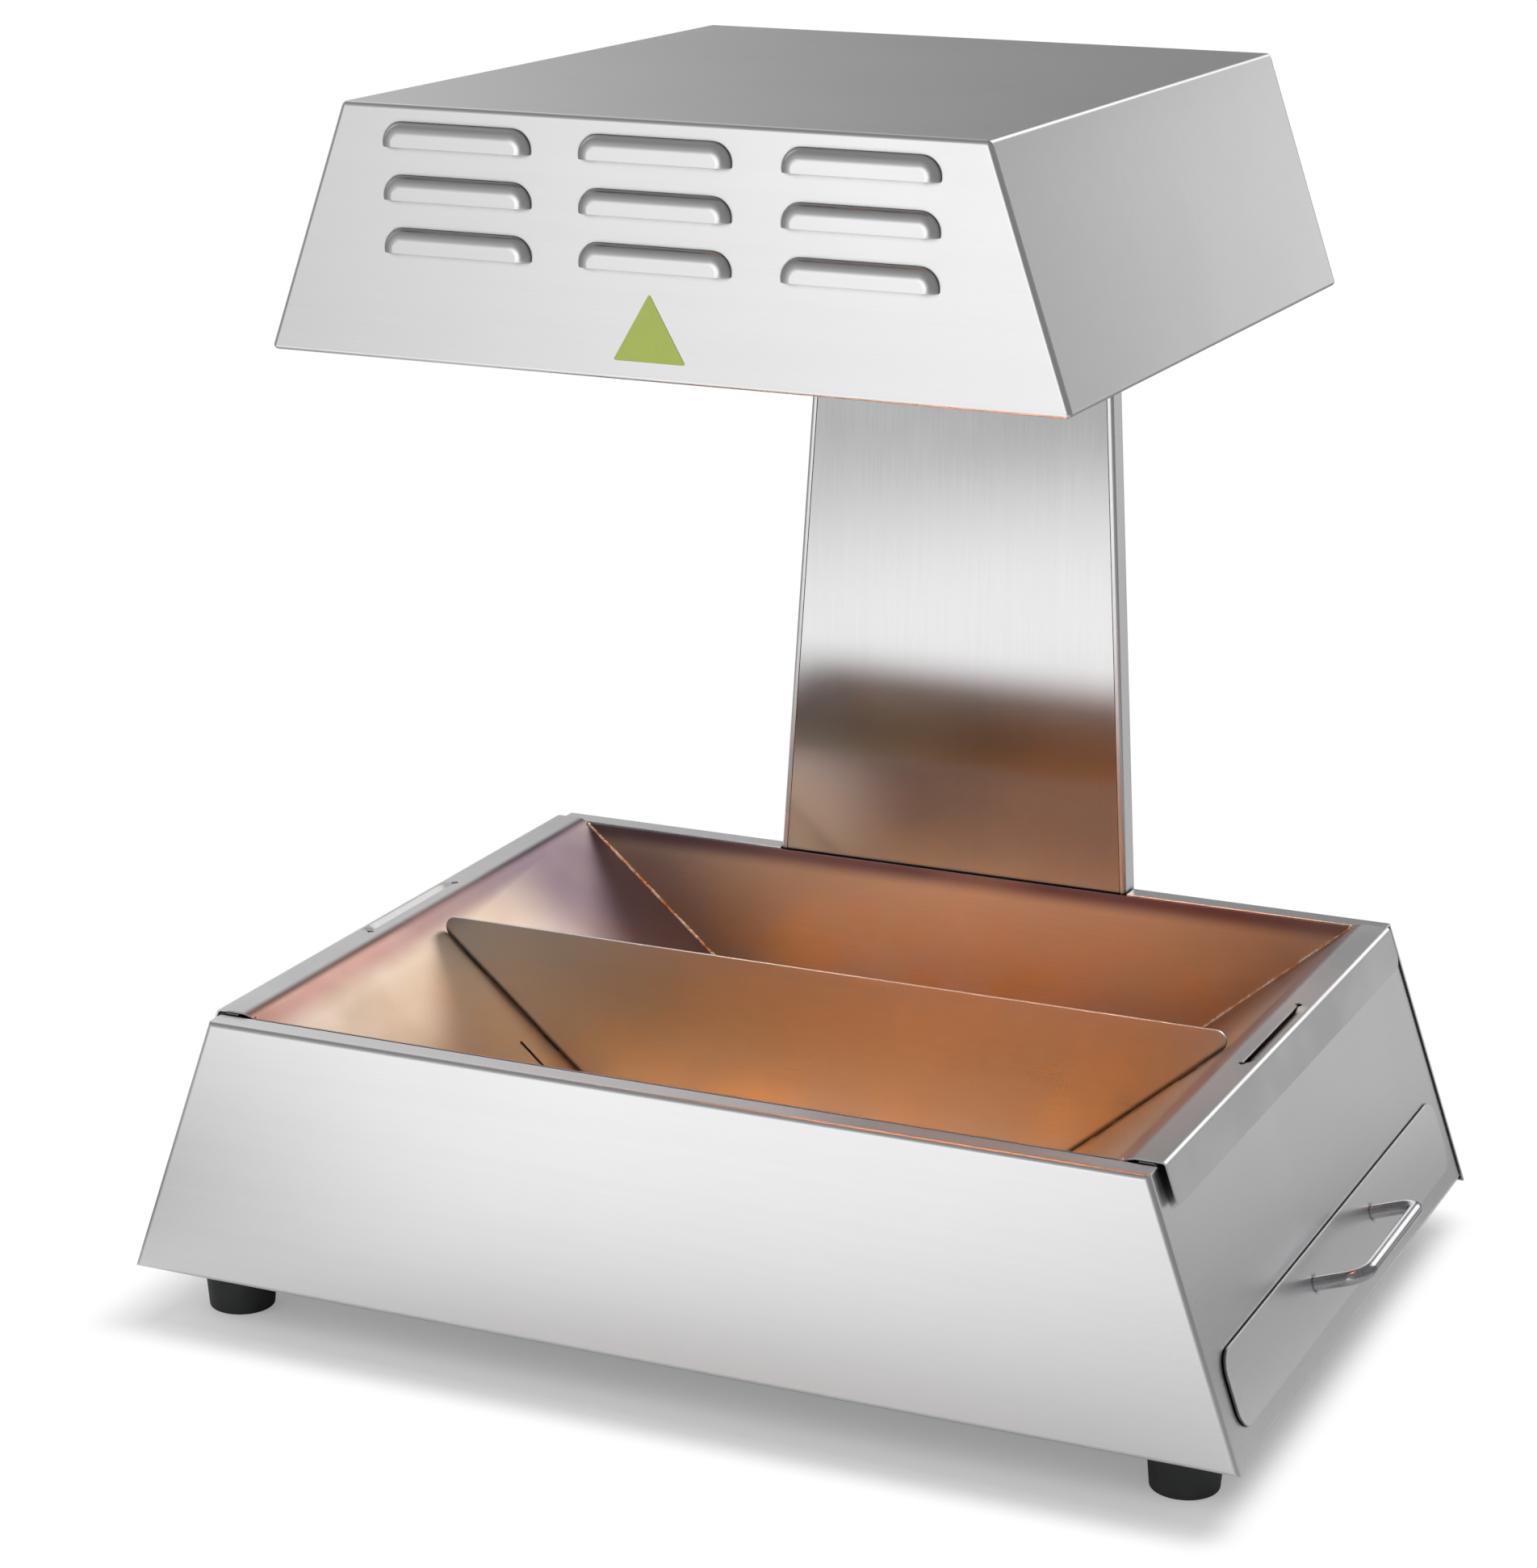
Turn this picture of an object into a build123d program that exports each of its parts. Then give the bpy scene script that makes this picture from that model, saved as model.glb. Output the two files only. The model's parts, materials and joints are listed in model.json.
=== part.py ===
"""Counter-top chip warmer: a heated hood on a sheet-metal column over a lift-out chip hopper.

Millimetres. +X is the operator's right, +Y goes to the rear and +Z is up. The origin is on the
table, midway between the four feet; the pieces are drawn from the underside of the housing and
raised by the height of the feet when they are written.
"""

import math
import os

from build123d import *

# ---------------------------------------------------------------- driving dimensions
SHEET = 1.0                    # housing, hood, hopper and drawer tray
BEND_INSIDE = 2.0              # inside radius of an ordinary bend
FIT = 0.3                      # gap left beside anything that lifts or slides
FLANGE, SHELF = 14.0, 9.0      # flanges folded inside the housing; those that carry the hopper

FOOT_HEIGHT = 32.0             # table to the underside of the housing
FOOT_TOP_RADIUS, FOOT_BOTTOM_RADIUS = 21.5, 18.5
FOOT_RECESS_RADIUS, FOOT_RECESS_DEPTH = 9.0, 14.0
FOOT_EDGE = 1.2                # rounding of the foot's lower rim
FOOT_X, FOOT_Y = 282.5, 179.5
FOOT_SCREW_RADIUS, FOOT_SCREW_END = 2.5, 8.0
FOOT_HEAD_RADIUS, FOOT_HEAD_HEIGHT, FOOT_HEAD_ROUND = 4.6, 3.2, 1.4
FOOT_WASHER_RADIUS, FOOT_WASHER_SHEET = 7.5, 1.2
M5_FLATS, M5_NUT_HEIGHT = 8.0, 4.0
M4_FLATS, M4_NUT_HEIGHT, M4_HEAD_HEIGHT = 7.0, 3.2, 2.8
HOLE_PLAY, THREAD_PLAY = 0.1, 0.05    # added to a screw's radius in a hole, and in its nut

BASE_WIDTH_BOTTOM, BASE_WIDTH_TOP = 650.0, 543.0
BASE_DEPTH, BASE_HEIGHT = 450.0, 154.0
RIM_DEPTH, RIM_RETURN = 15.0, 10.0
RIM_RETURN_HALF = 262.0
CORNER_LAP = 4.5               # how far the front and rear panels wrap round the corners
PANEL_BEND = 3.0               # outside radius of their folded edges
BOTTOM_PLAY = (1.2, 0.2)       # gaps from the bottom plate to the bends of the sides and ends

COLUMN_FRONT, COLUMN_REAR = 210.5, 225.0
COLUMN_X = -4.0                # the column stands a little left of the middle
COLUMN_HALF_AT_RIM = 114.0
COLUMN_TAPER = 0.060           # half width lost per millimetre of height
COLUMN_SHEET, COLUMN_BEND = 1.2, 2.2
COLUMN_FOOT, COLUMN_HEAD = 3.2, 648.0
COLUMN_PLAY = 0.2              # past the housing's rim and the hood's hem
COVER_FRAME = 3.6              # hem left showing each side of the front cover
COVER_Z = (100.0, 560.0)
COVER_GAP, COVER_SUNK = 0.35, 0.1
REAR_COVER_Z = (20.0, 650.0)
REAR_COVER_DEPTH = 2.5
BRACKET_SHEET = 2.0
BRACKET_FOOT_Z, BRACKET_HEAD_Z = (2.0, 95.0), (545.0, 646.0)
COVER_SCREWS = ((70.0, 40.0), (70.0, 82.0), (55.0, 575.0), (55.0, 636.0))
COVER_SCREW_RADIUS, COVER_SCREW_REACH = 2.0, 10.5
COVER_HEAD_RADIUS, COVER_HEAD_HEIGHT, COVER_HEAD_ROUND = 4.0, 2.4, 1.2
COVER_EDGE = 1.6               # rounding of the rear cover's outer edges
FOOT_BOLTS_X, FOOT_BOLT_Y, FOOT_BOLT_RADIUS = (-94.0, -44.0, 36.0, 86.0), 216.45, 2.0
FOOT_BOLT_END = 9.0

HOOD_BOTTOM, HOOD_HEIGHT = 531.0, 130.0
HOOD_WIDTH_BOTTOM, HOOD_WIDTH_TOP = 440.0, 350.0
HOOD_BEND, HOOD_HEM = 2.5, 12.0
SEAM, SEAM_DEPTH = 0.35, 2.2   # open hairline where two folded walls meet

LOUVRE_LENGTH, LOUVRE_HEIGHT, LOUVRE_DEPTH = 83.0, 12.4, 5.6
LOUVRE_CORNER, LOUVRE_CROWN = 10.4, 6.6
LOUVRE_PITCH_X, LOUVRE_PITCH_Z = 109.5, 26.7
LOUVRE_TOP_ROW = 109.0         # bottom of the hood to the open edge of the top row

PAN_MOUTH_HALF, PAN_FLOOR_HALF = 255.5, 146.0
PAN_MOUTH_BEND = 11.0          # inside radius where the flanges roll over into the sloped walls
PAN_HALF_DEPTH = 208.5
PAN_TOP, PAN_FLOOR = 156.0, 62.0
PAN_END_TOP = 153.5
PAN_LIP_PROUD, PAN_LIP_DROP = 4.0, 22.0
PAN_LIP_REAR_CORNER, PAN_LIP_FRONT_CORNER = 8.0, 2.5
GRIP_X, GRIP_OUTER_X = 265.6, 272.0
GRIP_HALF, GRIP_RAMP, GRIP_DROP, GRIP_SLIT = 52.5, 10.0, 3.2, 0.7
GRIP_RELIEF = 2.6
GRIP_NOTCH = (2.6, 3.5, 150.2)    # clearance cut in the side panel: inwards, endways, from height
DRAIN_LENGTH, DRAIN_WIDTH = 32.0, 5.0
DRAIN_PITCH_X, DRAIN_PITCH_Y = 48.0, 52.0

DIVIDER_Y, DIVIDER_THICKNESS, DIVIDER_TOP = -3.0, 1.5, 154.3
DIVIDER_NOSE, DIVIDER_HEEL = 6.5, 3.0
TAB_SLOTS = ((119.5, 133.0), (78.5, 92.0))
TAB_SLACK, TAB_REACH = 2.6, 2.6
TAB_SLOT_HALF = 1.3
SPARE_SLOT_Y = -27.0

DRAWER_PLATE_HALF, DRAWER_PLATE_Z = 203.5, (15.0, 55.0)
DRAWER_PLATE_CORNER, DRAWER_PLATE_SHEET, DRAWER_PLATE_GAP = 12.0, 1.5, 0.5
TRAY_HALF, TRAY_RIM_HALF = 186.5, 197.0
TRAY_LEFT, TRAY_Z = -288.0, (20.0, 44.5)
TRAY_BEND, GUIDE_BEND = 1.0, 0.8
GUIDE_INNER, GUIDE_LEG, GUIDE_OUTER, GUIDE_UPSTAND = 189.0, 203.0, 199.0, 8.0
DRAWER_OPENING_HALF, DRAWER_OPENING_Z = 198.5, (18.8, 46.0)
GUIDE_X = (-296.0, 300.0)
HANDLE_SPACING, HANDLE_ROD, HANDLE_REACH, HANDLE_BEND = 112.0, 8.0, 29.0, 11.0
HANDLE_Z = 38.0
HANDLE_SCREW_RADIUS, HANDLE_THREAD = 2.0, 9.0
HANDLE_HEAD_RADIUS, HANDLE_HEAD_HEIGHT = 3.8, 2.4

HEATER_Y, HEATER_Z, HEATER_HALF, HEATER_TAIL = 80.0, 575.0, 150.0, 172.0
QUARTZ_RADIUS, QUARTZ_BORE, COIL_RADIUS = 5.5, 4.3, 2.6
CAP_SOCKET, CAP_SOCKET_RADIUS, CAP_TAIL_RADIUS = 4.0, 7.8, 6.0
CAP_COLLAR, CAP_COLLAR_RADIUS = 4.0, 11.0
REFLECTOR_HALF, REFLECTOR_TOP, REFLECTOR_BEND = 156.0, 604.0, 5.0
REFLECTOR_FLANGE_Z, REFLECTOR_FLANGE = 546.0, 20.0
TROUGH_HALF_TOP, TROUGH_HALF_MOUTH = 32.0, 60.0
END_RISE, END_SHOULDER = 6.0, 30.0    # reflector ends: above the troughs, and in at the top corners
GUARD_X, GUARD_Y, GUARD_Z, GUARD_CORNER = 168.0, 150.0, 539.0, 14.0
GUARD_ROD_RADIUS, GUARD_WIRE_RADIUS, GUARD_PITCH, GUARD_WIRES = 2.5, 1.5, 28.0, 11
HANGERS = ((-80.0, -50.0), (80.0, -50.0), (-80.0, 50.0), (80.0, 50.0))
HANGER_RADIUS = 4.0

SWITCH_X, SWITCH_Z = -232.0, 100.0
SWITCH_BEZEL, SWITCH_BODY, SWITCH_WELL = (13.0, 16.0), (11.0, 14.0), (9.5, 12.5)
SWITCH_PROUD, SWITCH_EDGE = 2.0, 1.2
SWITCH_BACK, SWITCH_WELL_FLOOR = 201.0, 214.0
ROCKER_TILT, ROCKER_PIVOT_Y = 10.0, 222.5
ROCKER_HALF, ROCKER_NOSE, ROCKER_TAIL = 9.1, (5.2, 11.2), (-3.0, 9.0)
ROCKER_DISH = 3.4                      # middle of the dished face, out from the pivot
TRUNNION_HALF, TRUNNION_RADIUS = 10.2, 1.2
GLAND_X, GLAND_Z, GLAND_BORE, GLAND_FLATS = -192.0, 44.0, 4.5, 22.0
GLAND_THREAD, GLAND_THREAD_START = 8.0, 213.0
GLAND_COLLAR, GLAND_NECK, GLAND_NECK_REACH = 6.0, 7.6, 9.0
GLAND_DOME, GLAND_DOME_REACH, GLAND_DOME_ROUND = 10.6, 15.0, 4.0
GLAND_LOCK_START, GLAND_LOCK_HEIGHT = 219.0, 5.0
BASE_TERMINALS = ((-285.0, -245.0), (208.0, 224.0), (62.0, 80.0))
HOOD_TERMINALS = ((98.0, 138.0), (206.0, 224.0), (609.0, 629.0))
HARNESS_Y, HARNESS_RADIUS, HARNESS_BEND, HARNESS_X = 217.5, 3.5, 16.0, -20.0
HARNESS_LOW, HARNESS_HIGH = 71.0, 619.0
TERMINAL_POLES, TERMINAL_WALL, TERMINAL_STEP, TERMINAL_POCKET = 4, 1.2, 5.0, 4.0
LEAD_LIFT = 2.6                # middle of a pocket from the block's top or bottom
LEAD_RADIUS, LEAD_BEND = 1.6, 5.0
HEATER_LEAD_OUT = 9.0                  # how far a heater lead runs on from its cap
SWITCH_LEAD_X, SWITCH_LEAD_LOOP = 5.0, 188.0

# ---------------------------------------------------------------- worked-out values
BASE_SLOPE = (BASE_WIDTH_BOTTOM - BASE_WIDTH_TOP) / 2 / BASE_HEIGHT
BASE_LEAN = math.atan(BASE_SLOPE)
HOOD_SLOPE = (HOOD_WIDTH_BOTTOM - HOOD_WIDTH_TOP) / 2 / HOOD_HEIGHT
HOOD_LEAN = math.atan(HOOD_SLOPE)
HOOD_TOP = HOOD_BOTTOM + HOOD_HEIGHT
HALF_DEPTH = BASE_DEPTH / 2
INNER_DEPTH = HALF_DEPTH - SHEET
SIDE_HALF_DEPTH = HALF_DEPTH - PANEL_BEND - 0.1
RIM_EDGE = HALF_DEPTH - RIM_DEPTH
PAN_SLOPE = (PAN_MOUTH_HALF - PAN_FLOOR_HALF) / (PAN_TOP - PAN_FLOOR)
PAN_LEAN = math.atan(PAN_SLOPE)
SIDE_TOP = PAN_TOP - SHEET - FIT          # the side panels' top flanges carry the hopper
OUTWARD = (math.cos(BASE_LEAN), 0, math.sin(BASE_LEAN))
SIDE_FACE = Plane((BASE_WIDTH_BOTTOM / 2, 0, 0), x_dir=(0, 1, 0), z_dir=OUTWARD)
DRAWER_FACE = DRAWER_PLATE_GAP - SHEET    # back of the drawer plate, from the side's plane
WALL_CUT = (220.0, 230.0)                 # depths either side of the rear walls, for cutting holes
FAR = 900.0                               # past everything, for cutting blocks


def base_half(z, inset=0.0):
    """Half width of the housing at height z, on a plane set squarely inside its side."""
    return BASE_WIDTH_BOTTOM / 2 - BASE_SLOPE * z - inset / math.cos(BASE_LEAN)


def hood_half(z, inset=0.0):
    """Half width of the hood at height z, on a plane set squarely inside its side."""
    return HOOD_WIDTH_BOTTOM / 2 - HOOD_SLOPE * (z - HOOD_BOTTOM) - inset / math.cos(HOOD_LEAN)


def column_half(z, inset=0.0):
    """Half width of the column at height z, about its own centre line."""
    return COLUMN_HALF_AT_RIM - COLUMN_TAPER * (z - BASE_HEIGHT) - inset


def pan_half(z, under=0.0):
    """Half width of the hopper's sloped walls at height z, on a face set squarely under them."""
    return PAN_MOUTH_HALF - PAN_SLOPE * (PAN_TOP - z) + under / math.cos(PAN_LEAN)


# ---------------------------------------------------------------- shape helpers
def block(x0, x1, y0, y1, z0, z1):
    """Box between two opposite corners."""
    return Pos((x0 + x1) / 2, (y0 + y1) / 2, (z0 + z1) / 2) * Box(x1 - x0, y1 - y0, z1 - z0)


def cylinder(start, direction, radius, length):
    """Round bar from a point along a direction."""
    return extrude(Plane(start, z_dir=direction) * Circle(radius), length)


def upright(radius, z0, z1, x=0, y=0):
    """Round bar between two heights."""
    return cylinder((x, y, z0), (0, 0, 1), radius, z1 - z0)


def across_depth(section, y0, y1):
    """Solid with an (x, z) section, between two depths."""
    face = section if isinstance(section, Sketch) else make_face(Polyline(*section, close=True))
    return extrude(Plane((0, y1, 0), x_dir=(1, 0, 0), z_dir=(0, -1, 0)) * face, y1 - y0)


def across_width(section, x0, x1):
    """Solid with a (y, z) section, between two widths."""
    face = section if isinstance(section, Sketch) else make_face(Polyline(*section, close=True))
    return extrude(Plane((x0, 0, 0), x_dir=(0, 1, 0), z_dir=(1, 0, 0)) * face, x1 - x0)


def trapezoid(half, z0, z1, inset=0.0):
    """Symmetric outline in x and z that follows one of the half-width rules."""
    return [(-half(z0, inset), z0), (half(z0, inset), z0), (half(z1, inset), z1), (-half(z1, inset), z1)]


def folded(points, thickness=SHEET, inside=BEND_INSIDE):
    """Section of a folded sheet: the path is its good face and the metal lies to the path's right.

    The inside radius is one number for all bends or a list with one number for each.
    """
    insides = inside if isinstance(inside, list) else [inside] * (len(points) - 2)
    steps = [(b[0] - a[0], b[1] - a[1]) for a, b in zip(points, points[1:])]
    units = [(dx / math.hypot(dx, dy), dy / math.hypot(dx, dy)) for dx, dy in steps]
    rights = [(dy, -dx) for dx, dy in units]
    rights = [rights[0], *rights, rights[-1]]
    back = []
    for (x, y), (ax, ay), (bx, by) in zip(points, rights, rights[1:]):
        stretch = thickness / (1 + ax * bx + ay * by)
        back.append((x + (ax + bx) * stretch, y + (ay + by) * stretch))
    left_turns = [a[0] * b[1] - a[1] * b[0] > 0 for a, b in zip(units, units[1:])]
    good_radii = [r if left else r + thickness for r, left in zip(insides, left_turns)]
    back_radii = [r + thickness if left else r for r, left in zip(insides, left_turns)]
    good_face = FilletPolyline(*points, radius=good_radii)
    back_face = FilletPolyline(*back, radius=back_radii)
    ends = [Line(points[0], back[0]), Line(points[-1], back[-1])]
    return make_face(good_face.edges() + back_face.edges() + ends)


def bent_rod(radius, bend, *route):
    """Round rod along a route, with arcs of one radius at its corners."""
    path = FilletPolyline(*route, radius=bend)
    return sweep(Plane(path @ 0, z_dir=path % 0) * Circle(radius), path=path)


def both_sides(solid):
    """A right-hand piece and its left-hand twin."""
    return solid, mirror(solid, about=Plane.YZ)


def hexagon(across_flats):
    """Hexagon of a nut or a gland."""
    return RegularPolygon(across_flats / 2, 6, major_radius=False)


# ---------------------------------------------------------------- housing
def housing_cap(inset, bend, z0, z1, depth):
    """Front slice of the housing, with its front edges rounded."""
    y0 = -HALF_DEPTH + inset
    solid = across_depth(trapezoid(base_half, z0, z1, inset), y0, -HALF_DEPTH + depth)
    return fillet(solid.faces().sort_by(Axis.Y)[0].edges(), bend)


def end_panel():
    """Front panel: rim strip, short side returns and bottom flange folded back from one face."""
    lap = -HALF_DEPTH + CORNER_LAP
    panel = housing_cap(0, PANEL_BEND, 0, BASE_HEIGHT, RIM_DEPTH)
    panel -= housing_cap(SHEET, PANEL_BEND - SHEET, SHEET, BASE_HEIGHT - SHEET, RIM_DEPTH + 1)
    panel -= block(-FAR, FAR, lap, -RIM_EDGE + 1, SHEET, BASE_HEIGHT - SHEET)
    flange_half = base_half(0, 2 * SHEET) - FLANGE - 1
    for side in (-1, 1):
        near, far = sorted((side * flange_half, side * FAR))
        panel -= block(near, far, lap, -RIM_EDGE + 1, -1, SHEET)
    edge = block(-RIM_RETURN_HALF, RIM_RETURN_HALF, -RIM_EDGE - SHEET, -RIM_EDGE,
                 BASE_HEIGHT - RIM_RETURN, BASE_HEIGHT)
    panel += edge
    rim_edge = panel.edges().filter_by(Axis.X).filter_by_position(Axis.Z, BASE_HEIGHT, BASE_HEIGHT)
    return fillet(rim_edge.sort_by(Axis.Y)[-1], SHEET)


def cover_screw_points():
    """(x, z) of every screw in the rear cover."""
    return [(COLUMN_X + side * x, z) for x, z in COVER_SCREWS for side in (-1, 1)]


def cover_screw_holes(y0, y1, z0, z1):
    """Clearance holes for the rear cover's screws that fall between two heights."""
    points = [(x, z) for x, z in cover_screw_points() if z0 < z < z1]
    return [cylinder((x, y0, z), (0, 1, 0), COVER_SCREW_RADIUS + HOLE_PLAY, y1 - y0) for x, z in points]


def foot_bolt_holes(z0, z1):
    """Clearance holes for the column's foot bolts between two heights."""
    return [upright(FOOT_BOLT_RADIUS + HOLE_PLAY, z0, z1, x, FOOT_BOLT_Y) for x in FOOT_BOLTS_X]


def base_rear_panel():
    """Twin of the front panel, notched for the column and cut out for the switch and gland."""
    panel = mirror(end_panel(), about=Plane.XZ)
    notch = column_half(BASE_HEIGHT) + 2 * FIT
    panel -= block(COLUMN_X - notch, COLUMN_X + notch, RIM_EDGE - 1, INNER_DEPTH,
                   BASE_HEIGHT - RIM_RETURN - 1, BASE_HEIGHT + 1)
    half_x, half_z = (half + HOLE_PLAY for half in SWITCH_BODY)
    panel -= block(SWITCH_X - half_x, SWITCH_X + half_x, *WALL_CUT, SWITCH_Z - half_z, SWITCH_Z + half_z)
    panel -= cylinder((GLAND_X, WALL_CUT[0], GLAND_Z), (0, 1, 0), GLAND_THREAD + HOLE_PLAY,
                      WALL_CUT[1] - WALL_CUT[0])
    panel -= cover_screw_holes(*WALL_CUT, 0, BASE_HEIGHT)
    return panel - foot_bolt_holes(-1, 2 * SHEET)


def side_panel():
    """Right side panel: sloped wall with a flange at the bottom and one that carries the hopper."""
    top, bottom = base_half(SIDE_TOP, SHEET), base_half(0, SHEET)
    section = folded([(top - SHELF, SIDE_TOP), (top, SIDE_TOP), (bottom, 0), (bottom - FLANGE, 0)])
    panel = across_depth(section, -SIDE_HALF_DEPTH, SIDE_HALF_DEPTH)
    under_rim = RIM_EDGE - 0.1
    for y0, y1 in ((-FAR, -under_rim), (under_rim, FAR)):
        panel -= block(0, FAR, y0, y1, BASE_HEIGHT - SHEET, FAR)
        panel -= block(0, base_half(0, 2 * SHEET) - BEND_INSIDE, y0, y1, -1, 2 * SHEET)
    inwards, endways, low = GRIP_NOTCH
    return panel - block(GRIP_X - inwards, FAR, -GRIP_HALF - endways, GRIP_HALF + endways, low, FAR)


def base_side_panel_right():
    """The side with the opening that the drawer slides through."""
    low, high = DRAWER_OPENING_Z
    opening = block(200, FAR, -DRAWER_OPENING_HALF, DRAWER_OPENING_HALF, low, high)
    return side_panel() - opening


def base_bottom_plate():
    """Flat bottom resting on the folded flanges."""
    half_x = base_half(0, 2 * SHEET) - BEND_INSIDE - BOTTOM_PLAY[0]
    half_y = INNER_DEPTH - BEND_INSIDE - BOTTOM_PLAY[1]
    plate = block(-half_x, half_x, -half_y, half_y, SHEET, 2 * SHEET)
    plate -= [upright(FOOT_SCREW_RADIUS + HOLE_PLAY, 0, 3 * SHEET, x, y) for x, y in foot_points()]
    return plate - foot_bolt_holes(0, 3 * SHEET)


# ---------------------------------------------------------------- feet
def foot_points():
    """(x, y) of the four feet, front left first."""
    return [(x, y) for y in (-FOOT_Y, FOOT_Y) for x in (-FOOT_X, FOOT_X)]


def rubber_foot():
    """Tapered foot with a recess for its screw, drawn on the vertical axis."""
    top, bottom, ledge = SHEET, -FOOT_HEIGHT, -FOOT_HEIGHT + FOOT_RECESS_DEPTH
    hole = FOOT_SCREW_RADIUS + HOLE_PLAY
    section = [(hole, top), (FOOT_TOP_RADIUS, top), (FOOT_BOTTOM_RADIUS, bottom),
               (FOOT_RECESS_RADIUS, bottom), (FOOT_RECESS_RADIUS, ledge), (hole, ledge)]
    foot = revolve(Plane.XZ * make_face(Polyline(*section, close=True)), Axis.Z)
    rims = foot.edges().filter_by(GeomType.CIRCLE).group_by(Axis.Z)[0]
    return fillet(rims.sort_by(SortBy.RADIUS)[-1], FOOT_EDGE)


def foot_hardware():
    """Washer, screw and nut of one foot, on the vertical axis."""
    ledge = -FOOT_HEIGHT + FOOT_RECESS_DEPTH
    washer = upright(FOOT_WASHER_RADIUS, ledge - FOOT_WASHER_SHEET, ledge)
    washer -= upright(FOOT_SCREW_RADIUS + HOLE_PLAY, -FAR, FAR)
    seat = ledge - FOOT_WASHER_SHEET
    head = upright(FOOT_HEAD_RADIUS, seat - FOOT_HEAD_HEIGHT, seat)
    head = fillet(head.edges().sort_by(Axis.Z)[0], FOOT_HEAD_ROUND)
    nut = extrude(Plane((0, 0, 2 * SHEET)) * hexagon(M5_FLATS), M5_NUT_HEIGHT)
    nut -= upright(FOOT_SCREW_RADIUS + THREAD_PLAY, -FAR, FAR)
    return washer, head + upright(FOOT_SCREW_RADIUS, seat, FOOT_SCREW_END), nut


# ---------------------------------------------------------------- column
def column_block(y0, y1, z0, z1, inset=0.0):
    """Tapered block that follows the column."""
    return Pos(COLUMN_X, 0, 0) * across_depth(trapezoid(column_half, z0, z1, inset), y0, y1)


def slanted_edges(solid, y):
    """The two long leaning edges of a column piece at one depth."""
    edges = solid.edges().filter_by_position(Axis.Y, y - 0.01, y + 0.01)
    return edges.sort_by(SortBy.LENGTH)[-2:]


def column_channel():
    """Folded column, open at the rear, with a recess between two hems for the front cover."""
    column = column_block(COLUMN_FRONT, COLUMN_REAR, COLUMN_FOOT, COLUMN_HEAD)
    column = fillet(slanted_edges(column, COLUMN_FRONT), COLUMN_BEND)
    web = COLUMN_FRONT + 2 * COLUMN_SHEET
    column -= column_block(web, FAR, COLUMN_FOOT - 1, COLUMN_HEAD + 1, COLUMN_SHEET)
    column -= column_block(COLUMN_FRONT - 1, COLUMN_FRONT + COLUMN_SHEET, *COVER_Z, COVER_FRAME)
    column -= block(-FAR, FAR, INNER_DEPTH, FAR, 0, BASE_HEIGHT + COLUMN_PLAY)
    column -= block(-FAR, FAR, INNER_DEPTH, FAR, HOOD_BOTTOM - COLUMN_PLAY, FAR)
    for side, z in ((-1, HARNESS_LOW), (1, HARNESS_HIGH)):
        column -= cylinder((COLUMN_X, HARNESS_Y, z), (side, 0, 0), HARNESS_RADIUS + COLUMN_PLAY, FAR)
    return column


def column_front_cover():
    """Brushed cover plate seated between the column's hems."""
    low, high = COVER_Z
    return column_block(COLUMN_FRONT + COVER_SUNK, COLUMN_FRONT + COLUMN_SHEET, low + COVER_GAP,
                        high - COVER_GAP, COVER_FRAME + COVER_GAP)


def column_rear_cover():
    """Shallow lid over the wiring duct, from the housing's rear panel to the hood's rear wall."""
    low, high = REAR_COVER_Z
    outer_y = HALF_DEPTH + REAR_COVER_DEPTH
    cover = column_block(HALF_DEPTH, outer_y, low, high)
    cover = fillet(cover.faces().sort_by(Axis.Y)[-1].edges(), COVER_EDGE)
    hollow = column_block(HALF_DEPTH - 1, outer_y - COLUMN_SHEET, low + COLUMN_SHEET,
                          high - COLUMN_SHEET, COLUMN_SHEET)
    cover -= hollow
    return cover - cover_screw_holes(HALF_DEPTH - 1, outer_y + 1, low, high)


def column_foot_bracket():
    """Angle that bolts the column to the bottom plate and the rear panel."""
    low, high = BRACKET_FOOT_Z
    front = COLUMN_FRONT + 2 * COLUMN_SHEET
    angle = folded([(INNER_DEPTH, high), (INNER_DEPTH, low), (front, low)], BRACKET_SHEET)
    bracket = across_width(angle, -FAR, FAR) & column_block(front, INNER_DEPTH, low, high, COLUMN_SHEET)
    bracket -= cover_screw_holes(*WALL_CUT, low, high)
    return bracket - foot_bolt_holes(0, FOOT_BOLT_END)


def column_head_bracket():
    """Plate inside the column's head that the hood's rear wall is screwed to."""
    low, high = BRACKET_HEAD_Z
    plate = column_block(INNER_DEPTH - BRACKET_SHEET, INNER_DEPTH, low, high, COLUMN_SHEET)
    return plate - cover_screw_holes(*WALL_CUT, low, high)


def column_bolt(x):
    """Hexagon bolt under the bottom plate and its nut on the foot bracket."""
    bolt = extrude(Plane((x, FOOT_BOLT_Y, 0), z_dir=(0, 0, -1)) * hexagon(M4_FLATS), M4_HEAD_HEIGHT)
    bolt += upright(FOOT_BOLT_RADIUS, 0, FOOT_BOLT_END, x, FOOT_BOLT_Y)
    seat = BRACKET_FOOT_Z[0] + BRACKET_SHEET
    nut = extrude(Plane((x, FOOT_BOLT_Y, seat)) * hexagon(M4_FLATS), M4_NUT_HEIGHT)
    return bolt, nut - upright(FOOT_BOLT_RADIUS + THREAD_PLAY, 0, FAR, x, FOOT_BOLT_Y)


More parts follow.
